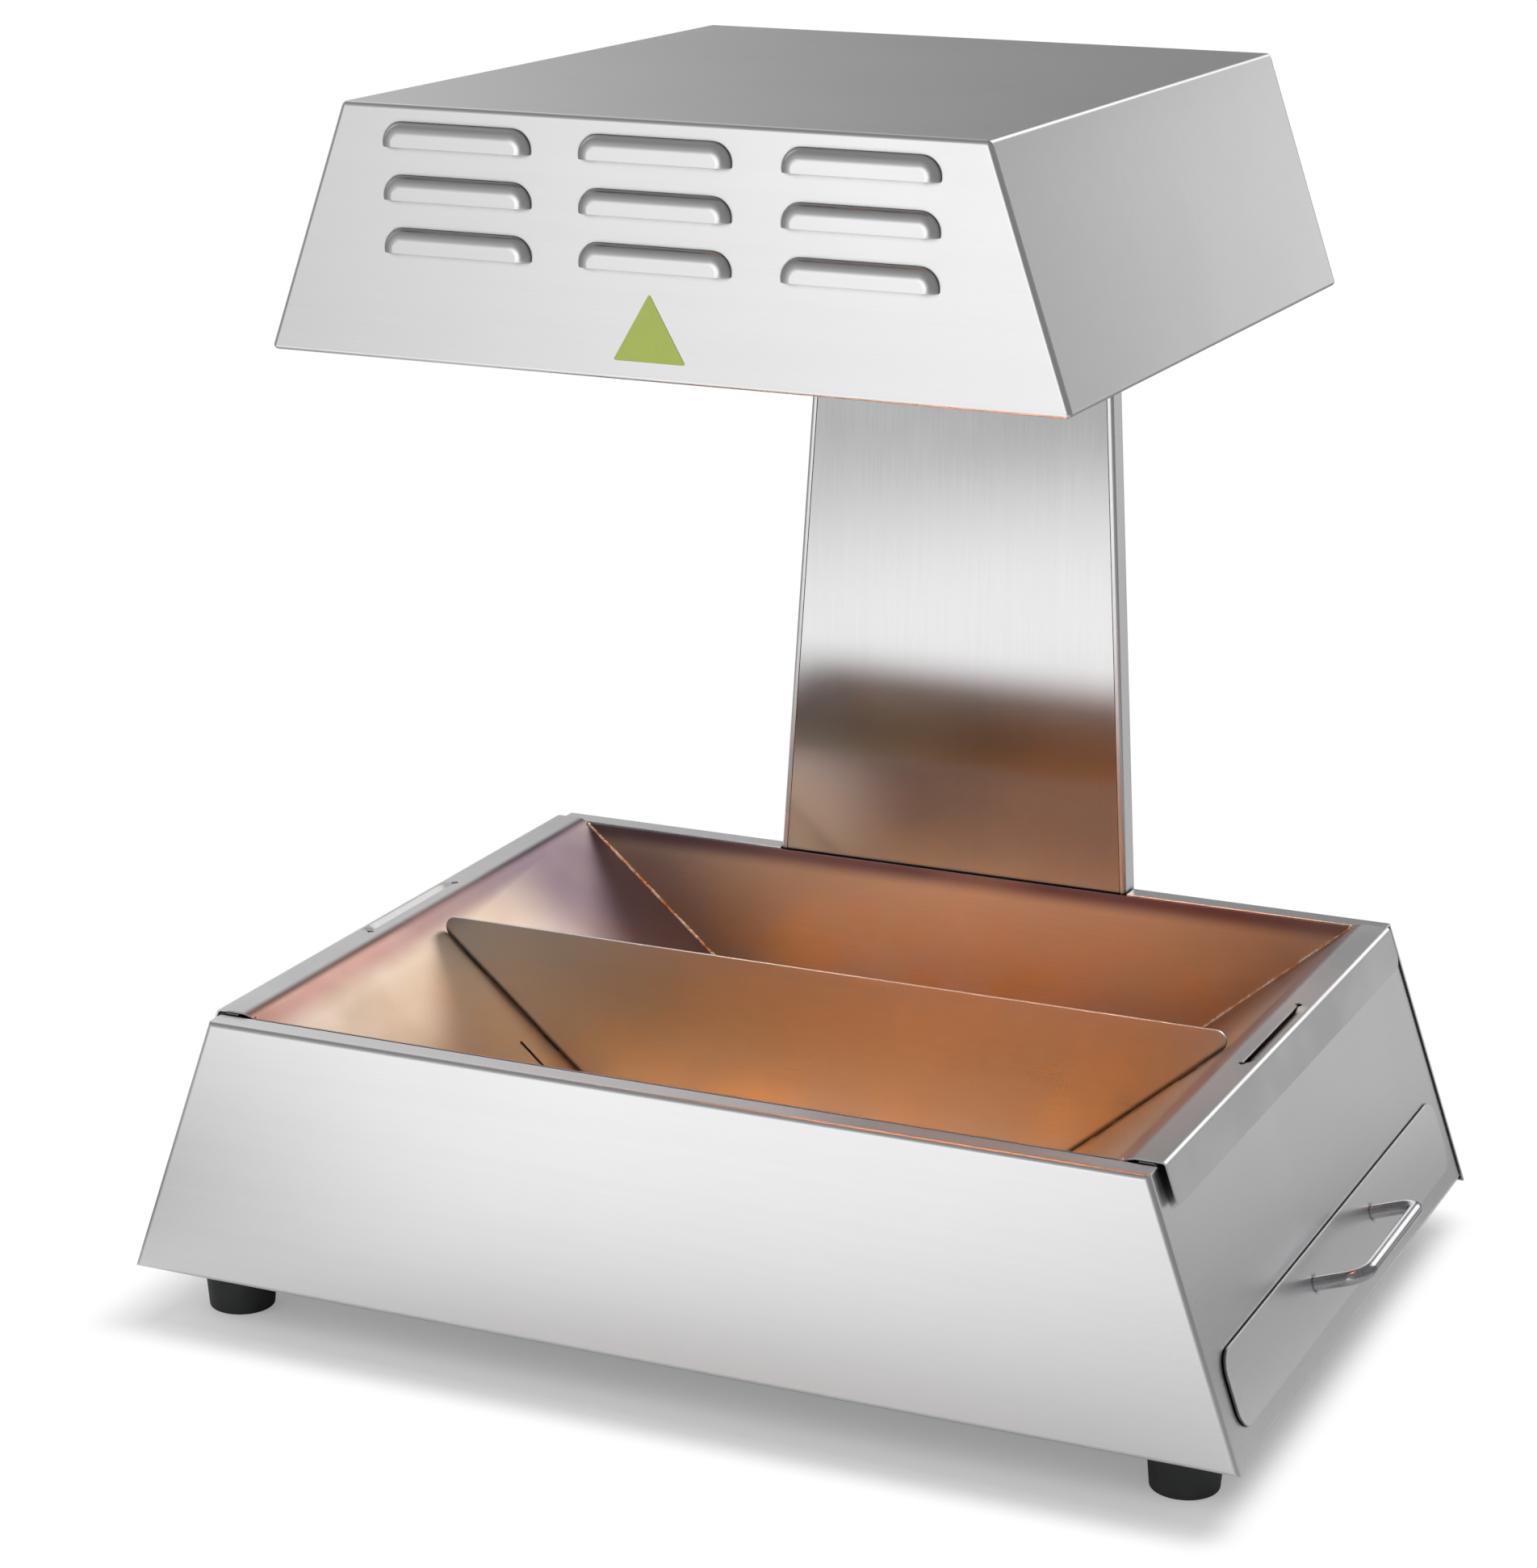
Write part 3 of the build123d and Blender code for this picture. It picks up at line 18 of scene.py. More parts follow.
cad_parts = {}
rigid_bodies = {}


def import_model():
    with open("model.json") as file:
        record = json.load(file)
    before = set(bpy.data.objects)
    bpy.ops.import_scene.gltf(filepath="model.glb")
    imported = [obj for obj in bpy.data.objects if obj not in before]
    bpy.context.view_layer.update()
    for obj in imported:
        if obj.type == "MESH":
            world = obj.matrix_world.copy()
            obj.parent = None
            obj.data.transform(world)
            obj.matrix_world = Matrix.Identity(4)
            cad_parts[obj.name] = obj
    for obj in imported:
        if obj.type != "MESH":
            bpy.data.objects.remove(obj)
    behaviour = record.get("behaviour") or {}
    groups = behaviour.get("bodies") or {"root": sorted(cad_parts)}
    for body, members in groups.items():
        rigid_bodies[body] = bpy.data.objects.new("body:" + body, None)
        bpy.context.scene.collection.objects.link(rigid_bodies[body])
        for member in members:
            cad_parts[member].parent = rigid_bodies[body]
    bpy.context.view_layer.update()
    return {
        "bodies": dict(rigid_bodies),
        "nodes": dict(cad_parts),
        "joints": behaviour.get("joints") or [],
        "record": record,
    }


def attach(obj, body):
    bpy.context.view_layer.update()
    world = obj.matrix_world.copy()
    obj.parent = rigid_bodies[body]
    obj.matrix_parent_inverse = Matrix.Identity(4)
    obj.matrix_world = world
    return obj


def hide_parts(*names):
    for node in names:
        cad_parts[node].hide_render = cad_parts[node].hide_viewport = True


LOG = logging.getLogger("chip_warmer")
MM = 0.001
FOOT_HEIGHT = 32 * MM
WHITE = "#ffffff"
MERGE = 1e-6                        # closest that two corners may be
EDGE_RADIUS = 0.35 * MM             # deburred edge of cut sheet, rounded in shading only
NOISE_SPAN = (0.3, 0.7)             # values that nearly all of a noise falls between
BLOT_SPAN = (0.35, 0.65)            # narrower span, which gives its blots clearer edges
SMOOTH = {"interpolation_type": "SMOOTHSTEP"}
CORNERS = [f"{y}_{x}" for y in ("front", "rear") for x in ("left", "right")]
SHARE, FIRST, SECOND = 0, 6, 7      # inputs of a node that mixes two colours

Material = bpy.types.Material
Mesh = bmesh.types.BMesh
ShaderNode = bpy.types.Node
Socket = bpy.types.NodeSocket
Given = ShaderNode | Socket | Sequence[float] | float | str
Inputs = Sequence[Given] | dict[str | int, Given]


# --------------------------------------------------------------------------------------
# Colour and node helpers
# --------------------------------------------------------------------------------------
def linear(hex_code: str) -> tuple[float, float, float, float]:
    """Turn an sRGB hex colour into the linear values that shaders and lamps take.

    Args:
        hex_code: Six hexadecimal digits after a hash sign.

    Returns:
        Linear red, green and blue, and an alpha of 1.
    """
    def channel(start: int) -> float:
        """Linear value of the two digits that start at a place."""
        value = int(hex_code[start:start + 2], 16) / 255
        return value / 12.92 if value <= 0.04045 else ((value + 0.055) / 1.055) ** 2.4

    return channel(1), channel(3), channel(5), 1.0


@dataclass
class Sheet:
    """Node sheet of one material or world, with a helper that adds and links nodes."""

    tree: bpy.types.NodeTree

    def add(self, kind: str, inputs: Inputs = (), **settings: object) -> ShaderNode:
        """Add one node with its settings and links.

        Args:
            kind: Blender's identifier of the node.
            inputs: What its inputs take, as feed has them.
            **settings: Attributes of the node.

        Returns:
            The new node.
        """
        node = self.tree.nodes.new(kind)
        for name, value in settings.items():
            setattr(node, name, value)
        self.feed(node, inputs)
        return node

    def feed(self, node: ShaderNode, inputs: Inputs) -> None:
        """Give a node's inputs their links and constants.

        Args:
            node: Node to feed.
            inputs: What the inputs take, in their order or by name or number. A socket is
                joined, a node stands for its first output in use, and a hex code for a colour.
        """
        for place, value in (inputs.items() if isinstance(inputs, dict) else enumerate(inputs)):
            if isinstance(value, ShaderNode):
                value = next(socket for socket in value.outputs if socket.enabled)
            if isinstance(value, Socket):
                self.tree.links.new(value, node.inputs[place])
            else:
                constant = linear(value) if isinstance(value, str) else value
                node.inputs[place].default_value = constant


def new_material(name: str) -> tuple[Material, Sheet, ShaderNode, Socket]:
    """Start a material that reads Object coordinates.

    Args:
        name: Name of the real material and process.

    Returns:
        The material, its sheet, its Principled node and the coordinate socket in metres.
    """
    material = bpy.data.materials.new(name)
    material.use_nodes = True
    sheet = Sheet(material.node_tree)
    shader = material.node_tree.nodes["Principled BSDF"]
    where = sheet.add("ShaderNodeTexCoord").outputs["Object"]
    return material, sheet, shader, where


def scaled_noise(sheet: Sheet, where: Socket, size_mm: Sequence[float], detail: float = 2.0,
                 roughness: float = 0.55) -> ShaderNode:
    """Noise whose blots have a real size along each axis.

    Args:
        sheet: Sheet that takes the nodes.
        where: Coordinates in metres.
        size_mm: Length of one blot along X, Y and Z in millimetres.
        detail: Octaves of the noise.
        roughness: Share that each octave keeps.

    Returns:
        The noise node, whose value is near 0.5 on average.
    """
    scale = tuple(1 / (length * MM) for length in size_mm)
    spot = sheet.add("ShaderNodeMapping", {"Vector": where, "Scale": scale})
    return sheet.add("ShaderNodeTexNoise", {"Vector": spot, "Scale": 1.0, "Detail": detail,
                                            "Roughness": roughness})


class Grain(Enum):
    """Direction that a sheet was brushed in."""

    ALONG_X = 0
    ALONG_Y = 1
    ALONG_Z = 2

    def stretched(self, fine: float, long: float) -> tuple[float, float, float]:
        """Blot size that is long along the grain and fine across it."""
        return tuple(long if axis == self.value else fine for axis in range(3))


# --------------------------------------------------------------------------------------
# Finishes: every metal keeps the shader's default IOR
# --------------------------------------------------------------------------------------
@dataclass(frozen=True)
class BrushedStainless:
    """Cold-rolled 304 stainless sheet, belt-brushed at 240 grit: soft streaked reflections."""

    name: str = "brushed_304_stainless"
    grain: Grain = Grain.ALONG_X
    colour: str = "#e2e2e3"
    shade: str = "#dededf"
    painted_crevice_shade: str = "#4a4a4b"            # painted shade where sheets overlap and under lips
    roughness: float = 0.29
    streak_depth_mm: float = 0.0012
    scratch_pitch_mm: float = 0.30      # real lines are 0.06 mm apart; drawn coarser to show
    scratch_length_mm: float = 45.0
    scratch_part: float = 0.7           # share of the tone that is scratches; passes are the rest
    pass_mm: tuple[float, float] = (6.0, 400.0)     # width and length of one pass of the belt
    cloud_mm: float = 90.0
    scuff_span: tuple[float, float] = (0.25, 0.75)
    wear: float = 0.01                  # roughness that scratches and handling each add or take
    shade_reach_mm: float = 8.0
    shade_openness: tuple[float, float] = (0.60, 0.76)    # openness at which the painted shade is full, then gone
    bump_strength: float = 0.12
    painted_top_shade_z: Optional[tuple[float, float]] = None    # heights over which painted shade darkens the top, under the hood
    # colour of the painted shade at the top
    film: str = "#868686"
    painted_reflection_band_z: Optional[tuple[float, float, float, float]] = None  # heights over which a painted darker reflection of the hopper comes, then goes
    painted_reflection_band: str = "#c8c4c2"

    def build(self) -> Material:
        """Make the node material.

        Returns:
            The material.
        """
        material, sheet, shader, where = new_material(self.name)
        scratch_mm = self.grain.stretched(self.scratch_pitch_mm, self.scratch_length_mm)
        fine = scaled_noise(sheet, where, scratch_mm, detail=3.0, roughness=0.6)
        band = scaled_noise(sheet, where, self.grain.stretched(*self.pass_mm))
        cloud = scaled_noise(sheet, where, (self.cloud_mm,) * 3, detail=3.0)
        parts = [sheet.add("ShaderNodeMath", (noise, part), operation="MULTIPLY")
                 for noise, part in ((fine, self.scratch_part), (band, 1 - self.scratch_part))]
        tone = sheet.add("ShaderNodeMath", parts, operation="ADD")
        light = sheet.add("ShaderNodeMapRange", (tone, *NOISE_SPAN), **SMOOTH)
        colour = sheet.add("ShaderNodeMix", {SHARE: light, FIRST: self.shade,
                                             SECOND: self.colour}, data_type="RGBA")
        scuffs = [sheet.add("ShaderNodeMapRange", (noise, *span, -self.wear, self.wear), **SMOOTH)
                  for noise, span in ((fine, self.scuff_span), (cloud, NOISE_SPAN))]
        wear = sheet.add("ShaderNodeMath", scuffs, operation="ADD")
        rough = sheet.add("ShaderNodeMath", (wear, self.roughness), operation="ADD")
        # Painted shade: the colour turns to the dark shade colour wherever ambient occlusion finds
        # nearby surfaces.
        occlusion = sheet.add("ShaderNodeAmbientOcclusion", {"Distance": self.shade_reach_mm * MM},
                        samples=8)
        clear = sheet.add("ShaderNodeMapRange", (occlusion.outputs["AO"], *self.shade_openness), **SMOOTH)
        colour = sheet.add("ShaderNodeMix", {SHARE: clear, FIRST: self.painted_crevice_shade, SECOND: colour},
                           data_type="RGBA")
        # Painted shade at the column's top and a painted darker reflection band lower down, both
        # set by height.
        if self.painted_top_shade_z and self.painted_reflection_band_z:
            height = sheet.add("ShaderNodeSeparateXYZ", (where,)).outputs[2]
            top_shade_share = sheet.add("ShaderNodeMapRange", (height, *self.painted_top_shade_z), **SMOOTH)
            comes = sheet.add("ShaderNodeMapRange", (height, *self.painted_reflection_band_z[:2]), **SMOOTH)
            goes = sheet.add("ShaderNodeMapRange", (height, *self.painted_reflection_band_z[2:], 1.0, 0.0), **SMOOTH)
            band_share = sheet.add("ShaderNodeMath", (comes, goes), operation="MULTIPLY")
            for cover, share in ((self.film, top_shade_share), (self.painted_reflection_band, band_share)):
                darkened = sheet.add("ShaderNodeMix", {SHARE: 1.0, FIRST: colour, SECOND: cover},
                                   data_type="RGBA", blend_type="MULTIPLY")
                colour = sheet.add("ShaderNodeMix", {SHARE: share, FIRST: colour,
                                                     SECOND: darkened}, data_type="RGBA")
        edge = sheet.add("ShaderNodeBevel", {"Radius": EDGE_RADIUS}, samples=4)
        bump = sheet.add("ShaderNodeBump", {"Height": fine, "Normal": edge,
                                            "Strength": self.bump_strength,
                                            "Distance": self.streak_depth_mm * MM})
        sheet.feed(shader, {"Base Color": colour, "Roughness": rough, "Normal": bump})
        shader.inputs["Metallic"].default_value = 1.0
        return material


@dataclass(frozen=True)
class HopperStainless:
    """Satin stainless pan heated for years: straw inside, and pink to violet by the mouth and the
    column, part heat tint and part painted reflection and shade.
    """

    name: str = "heat_tinted_satin_stainless"
    straw: str = "#e2b67c"
    pink: str = "#bf968a"
    violet: str = "#7f6b76"
    plain: str = "#d8cfc2"
    flange: str = "#dededf"             # the flanges and the outside stay clear of the heat
    roughness: float = 0.36
    roughness_drift: tuple[float, float] = (-0.05, 0.06)
    satin_mm: tuple[float, float, float] = (40.0, 0.4, 0.4)
    cloud_mm: tuple[float, float, float] = (70.0, 110.0, 60.0)
    patch_mm: tuple[float, float, float] = (160.0, 160.0, 120.0)
    mouth_half: tuple[float, float] = (0.2555, 0.2075)
    mouth_fade: float = 0.004
    middle: tuple[float, float, float] = (0.0, 0.0, 0.30)   # faces turned to it are the inside
    straw_span: tuple[float, float] = (0.30, 0.65)
    straw_least: float = 0.45           # straw left in its thinnest blots
    straw_high: float = 0.25            # and at the mouth
    mottle_span: tuple[float, float] = (0.35, 0.60)
    mottle_least: float = 0.8
    straw_z: tuple[float, float] = (FOOT_HEIGHT + 0.070, FOOT_HEIGHT + 0.150)
    rim_z: tuple[float, float] = (FOOT_HEIGHT + 0.140, FOOT_HEIGHT + 0.151)
    rear_y: tuple[float, float] = (-0.020, 0.150)
    rear_wall_y: tuple[float, float] = (0.2060, 0.2070)
    violet_y: tuple[float, float] = (-0.15, 0.12)
    streak: tuple[float, float] = (0.94, 1.0)
    bump_strength: float = 0.3
    streak_depth_mm: float = 0.004

    def build(self) -> Material:
        """Make the node material.

        Returns:
            The material.
        """
        material, sheet, shader, where = new_material(self.name)
        fine = scaled_noise(sheet, where, self.satin_mm, detail=3.0, roughness=0.6)
        cloud = scaled_noise(sheet, where, self.cloud_mm, detail=3.0)
        tinted = self._outside_plain(sheet, where, self._tint(sheet, where, cloud))
        streaks = sheet.add("ShaderNodeMapRange", (fine, *NOISE_SPAN, *self.streak), **SMOOTH)
        grey = sheet.add("ShaderNodeCombineColor", (streaks, streaks, streaks))
        colour = sheet.add("ShaderNodeMix", {SHARE: 1.0, FIRST: tinted, SECOND: grey},
                           data_type="RGBA", blend_type="MULTIPLY")
        drift = sheet.add("ShaderNodeMapRange", (cloud, *NOISE_SPAN, *self.roughness_drift),
                          **SMOOTH)
        rough = sheet.add("ShaderNodeMath", (drift, self.roughness), operation="ADD")
        edge = sheet.add("ShaderNodeBevel", {"Radius": EDGE_RADIUS}, samples=4)
        bump = sheet.add("ShaderNodeBump", {"Height": fine, "Normal": edge,
                                            "Strength": self.bump_strength,
                                            "Distance": self.streak_depth_mm * MM})
        sheet.feed(shader, {"Base Color": colour, "Roughness": rough, "Normal": bump})
        shader.inputs["Metallic"].default_value = 1.0
        return material

    def _tint(self, sheet: Sheet, where: Socket, cloud: ShaderNode) -> ShaderNode:
        """Colour the inside by the heat that each place has had, with painted reflection and shade
        in the pink and violet by the rim and the rear.

        Args:
            sheet: The material's sheet.
            where: Coordinates in metres.
            cloud: Noise that breaks up the straw tint.

        Returns:
            The heat tint, with its painted reflection and shade.
        """
        patch = scaled_noise(sheet, where, self.patch_mm)
        axes = sheet.add("ShaderNodeSeparateXYZ", (where,))
        depth, height = axes.outputs[1], axes.outputs[2]
        low = sheet.add("ShaderNodeMapRange", (height, *self.straw_z, 1.0, self.straw_high),
                        **SMOOTH)
        blots = sheet.add("ShaderNodeMapRange", (cloud, *self.straw_span, self.straw_least, 1.0),
                          **SMOOTH)
        strawed = sheet.add("ShaderNodeMath", (blots, low), operation="MULTIPLY")
        warm = sheet.add("ShaderNodeMix", {SHARE: strawed, FIRST: self.plain,
                                           SECOND: self.straw}, data_type="RGBA")
        # Painted reflection and shade, partly heat tint: pink to violet in a band by the rim and
        # towards the rear wall.
        rim = sheet.add("ShaderNodeMapRange", (height, *self.rim_z), **SMOOTH)
        rearward = sheet.add("ShaderNodeMapRange", (depth, *self.rear_y), **SMOOTH)
        inside = sheet.add("ShaderNodeMapRange", (depth, *self.rear_wall_y, 1.0, 0.0), **SMOOTH)
        rear = sheet.add("ShaderNodeMath", (rearward, inside), operation="MULTIPLY")
        deeper = sheet.add("ShaderNodeMapRange", (depth, *self.violet_y), **SMOOTH)
        tint_and_painted_reflection = sheet.add("ShaderNodeMix", {SHARE: deeper, FIRST: self.pink,
                                             SECOND: self.violet}, data_type="RGBA")
        mottle = sheet.add("ShaderNodeMapRange", (patch, *self.mottle_span, self.mottle_least,
                                                  1.0), **SMOOTH)
        rim_and_rear_mask = sheet.add("ShaderNodeMath", (rim, rear), operation="MAXIMUM")
        hot = sheet.add("ShaderNodeMath", (mottle, rim_and_rear_mask), operation="MULTIPLY")
        return sheet.add("ShaderNodeMix", {SHARE: hot, FIRST: warm, SECOND: tint_and_painted_reflection},
                         data_type="RGBA")

    def _outside_plain(self, sheet: Sheet, where: Socket, tint: ShaderNode) -> ShaderNode:
        """Keep the tint to the inside of the pan.

        Args:
            sheet: The material's sheet.
            where: Coordinates in metres.
            tint: Heat tint of the inside.

        Returns:
            The tint, with the flanges and the outside in their own colour.
        """
        axes = sheet.add("ShaderNodeSeparateXYZ", (where,))
        beyond = []
        for axis, half in enumerate(self.mouth_half):
            out = sheet.add("ShaderNodeMath", (axes.outputs[axis],), operation="ABSOLUTE")
            beyond.append(sheet.add("ShaderNodeMath", (out, half), operation="SUBTRACT"))
        furthest = sheet.add("ShaderNodeMath", beyond, operation="MAXIMUM")
        flange = sheet.add("ShaderNodeMapRange", (furthest, 0.0, self.mouth_fade), **SMOOTH)
        inward = sheet.add("ShaderNodeVectorMath", (self.middle, where), operation="SUBTRACT")
        facing = sheet.add("ShaderNodeTexCoord").outputs["Normal"]
        turned = sheet.add("ShaderNodeVectorMath", (facing, inward), operation="DOT_PRODUCT")
        away = sheet.add("ShaderNodeMath", (turned, 0.0), operation="LESS_THAN")
        outside = sheet.add("ShaderNodeMath", (flange, away), operation="MAXIMUM")
        return sheet.add("ShaderNodeMix", {SHARE: outside, FIRST: tint, SECOND: self.flange},
                         data_type="RGBA")


@dataclass(frozen=True)
class PlainMetal:
    """Metal whose surface comes from one process: zinc plating, polishing or wire drawing."""

    name: str
    colour: str
    shade: str
    roughness: float
    blot_mm: tuple[float, float, float] = (2.0, 2.0, 2.0)
    bump_mm: float = 0.01
    bump_strength: float = 0.25
    roughness_part: tuple[float, float] = (0.8, 1.25)

    def build(self) -> Material:
        """Make the node material.

        Returns:
            The material.
        """
        material, sheet, shader, where = new_material(self.name)
        noise = scaled_noise(sheet, where, self.blot_mm, detail=3.0)
        light = sheet.add("ShaderNodeMapRange", (noise, *BLOT_SPAN), **SMOOTH)
        colour = sheet.add("ShaderNodeMix", {SHARE: light, FIRST: self.shade,
                                             SECOND: self.colour}, data_type="RGBA")
        span = (self.roughness * part for part in self.roughness_part)
        rough = sheet.add("ShaderNodeMapRange", (noise, *NOISE_SPAN, *span), **SMOOTH)
        bump = sheet.add("ShaderNodeBump", {"Height": noise, "Strength": self.bump_strength,
                                            "Distance": self.bump_mm * MM})
        sheet.feed(shader, {"Base Color": colour, "Roughness": rough, "Normal": bump})
        shader.inputs["Metallic"].default_value = 1.0
        return material


@dataclass(frozen=True)
class GalvanisedSheet:
    """Hot-dip galvanised inner sheet: flat grey crystals a few millimetres across."""

    name: str = "hot_dip_galvanised_sheet"
    colour: str = "#b9bdc0"
    shade: str = "#9a9fa3"
    roughness: tuple[float, float] = (0.34, 0.52)
    spangle_mm: float = 7.0

    def build(self) -> Material:
        """Make the node material.

        Returns:
            The material.
        """
        material, sheet, shader, where = new_material(self.name)
        cells = sheet.add("ShaderNodeTexVoronoi",
                          {"Vector": where, "Scale": 1 / (self.spangle_mm * MM)})
        tone = sheet.add("ShaderNodeSeparateColor", (cells.outputs["Color"],))
        colour = sheet.add("ShaderNodeMix", {SHARE: tone, FIRST: self.shade,
                                             SECOND: self.colour}, data_type="RGBA")
        rough = sheet.add("ShaderNodeMapRange", (tone, 0.0, 1.0, *self.roughness), **SMOOTH)
        sheet.feed(shader, {"Base Color": colour, "Roughness": rough})
        shader.inputs["Metallic"].default_value = 1.0
        return material


@dataclass(frozen=True)
class Dielectric:
    """Moulded, woven or fired piece that isn't metal: plastic, rubber, ceramic or glass sleeve."""

    name: str
    colour: str
    shade: str
    roughness: float
    texture_mm: tuple[float, float, float] = (0.6, 0.6, 0.6)
    bump_mm: float = 0.03
    bump_strength: float = 0.5
    roughness_drift: float = 0.06
    cloud_mm: float = 14.0
    ior: float = 1.5

    def build(self) -> Material:
        """Make the node material.

        Returns:
            The material.
        """
        material, sheet, shader, where = new_material(self.name)
        grain = scaled_noise(sheet, where, self.texture_mm, detail=3.0, roughness=0.6)
        cloud = scaled_noise(sheet, where, (self.cloud_mm,) * 3)
        halves = [sheet.add("ShaderNodeMath", (noise, 0.5), operation="MULTIPLY")
                  for noise in (grain, cloud)]
        mottled = sheet.add("ShaderNodeMath", halves, operation="ADD")
        light = sheet.add("ShaderNodeMapRange", (mottled, *BLOT_SPAN), **SMOOTH)
        colour = sheet.add("ShaderNodeMix", {SHARE: light, FIRST: self.shade,
                                             SECOND: self.colour}, data_type="RGBA")
        span = (self.roughness - self.roughness_drift, self.roughness + self.roughness_drift)
        rough = sheet.add("ShaderNodeMapRange", (grain, *NOISE_SPAN, *span), **SMOOTH)
        bump = sheet.add("ShaderNodeBump", {"Height": grain, "Strength": self.bump_strength,
                                            "Distance": self.bump_mm * MM})
        sheet.feed(shader, {"Base Color": colour, "Roughness": rough, "Normal": bump})
        shader.inputs["IOR"].default_value = self.ior
        return material


@dataclass(frozen=True)
class ClearQuartz:
    """Drawn fused-quartz tube: clear, slightly warm and smooth."""

    name: str = "drawn_fused_quartz"
    colour: str = "#fffaf3"
    shade: str = "#fff4e6"
    draw_mm: tuple[float, float, float] = (40.0, 1.2, 1.2)
    roughness: tuple[float, float] = (0.02, 0.09)
    ior: float = 1.46

    def build(self) -> Material:
        """Make the node material.

        Returns:
            The material.
        """
        material, sheet, shader, where = new_material(self.name)
        draw = scaled_noise(sheet, where, self.draw_mm)
        colour = sheet.add("ShaderNodeMix", {SHARE: draw, FIRST: self.shade,
                                             SECOND: self.colour}, data_type="RGBA")
        rough = sheet.add("ShaderNodeMapRange", (draw, *NOISE_SPAN, *self.roughness), **SMOOTH)
        sheet.feed(shader, {"Base Color": colour, "Roughness": rough})
        shader.inputs["Transmission Weight"].default_value = 1.0
        shader.inputs["IOR"].default_value = self.ior
        return material


@dataclass(frozen=True)
class GlowingWire:
    """Resistance wire at full heat: oxidised alloy that glows orange."""

    name: str = "glowing_resistance_wire"
    colour: str = "#5b4033"
    shade: str = "#3a2a22"
    hot: str = "#ff9440"
    cooler: str = "#ff6a1f"
    heat_mm: tuple[float, float, float] = (25.0, 4.0, 4.0)
    roughness: float = 0.7
    strength: float = 14.0

    def build(self) -> Material:
        """Make the node material.

        Returns:
            The material.
        """
        material, sheet, shader, where = new_material(self.name)
        heat = scaled_noise(sheet, where, self.heat_mm)
        level = sheet.add("ShaderNodeMapRange", (heat, *NOISE_SPAN), **SMOOTH)
        glow = sheet.add("ShaderNodeMix", {SHARE: level, FIRST: self.cooler, SECOND: self.hot},
                         data_type="RGBA")
        colour = sheet.add("ShaderNodeMix", {SHARE: heat, FIRST: self.shade,
                                             SECOND: self.colour}, data_type="RGBA")
        sheet.feed(shader, {"Base Color": colour, "Emission Color": glow})
        shader.inputs["Emission Strength"].default_value = self.strength
        shader.inputs["Roughness"].default_value = self.roughness
        return material


@dataclass(frozen=True)
class PrintedFilm:
    """Screen-printed polyester film with a satin laminate: even yellow-green and a soft sheen."""

    name: str = "screen_printed_polyester_film"
    colour: str = "#b3c25b"
    shade: str = "#a9b853"
    roughness: tuple[float, float] = (0.32, 0.42)
    ink_mm: float = 5.0
    peel_mm: float = 1.5
    peel_depth_mm: float = 0.02
    bump_strength: float = 0.15

    def build(self) -> Material:
        """Make the node material.

        Returns:
            The material.
        """
        material, sheet, shader, where = new_material(self.name)
        ink = scaled_noise(sheet, where, (self.ink_mm,) * 3)
        peel = scaled_noise(sheet, where, (self.peel_mm,) * 3)
        colour = sheet.add("ShaderNodeMix", {SHARE: ink, FIRST: self.shade,
                                             SECOND: self.colour}, data_type="RGBA")
        rough = sheet.add("ShaderNodeMapRange", (peel, *NOISE_SPAN, *self.roughness), **SMOOTH)
        bump = sheet.add("ShaderNodeBump", {"Height": peel, "Strength": self.bump_strength,
                                            "Distance": self.peel_depth_mm * MM})
        sheet.feed(shader, {"Base Color": colour, "Roughness": rough, "Normal": bump})
        return material


@dataclass(frozen=True)
class WeldedSeam:
    """Fusion weld in stainless, ground and heat-tinted bronze along its edges."""

    name: str = "ground_fusion_weld"
    bright: str = "#f0e2cc"
    burnt: str = "#c98f5e"
    burnt_span: tuple[float, float] = (0.4, 0.65)
    roughness: tuple[float, float] = (0.22, 0.42)
    ripple_mm: float = 1.6
    ripple_depth_mm: float = 0.15
    tint_mm: float = 12.0
    bump_strength: float = 0.6

    def build(self) -> Material:
        """Make the node material.

        Returns:
            The material.
        """
        material, sheet, shader, where = new_material(self.name)
        ripple = scaled_noise(sheet, where, (self.ripple_mm,) * 3)
        tint = scaled_noise(sheet, where, (self.tint_mm,) * 3)
        burnt = sheet.add("ShaderNodeMapRange", (tint, *self.burnt_span), **SMOOTH)
        colour = sheet.add("ShaderNodeMix", {SHARE: burnt, FIRST: self.bright,
                                             SECOND: self.burnt}, data_type="RGBA")
        rough = sheet.add("ShaderNodeMapRange", (ripple, *NOISE_SPAN, *self.roughness), **SMOOTH)
        bump = sheet.add("ShaderNodeBump", {"Height": ripple, "Strength": self.bump_strength,
                                            "Distance": self.ripple_depth_mm * MM})
        sheet.feed(shader, {"Base Color": colour, "Roughness": rough, "Normal": bump})
        shader.inputs["Metallic"].default_value = 1.0
        return material


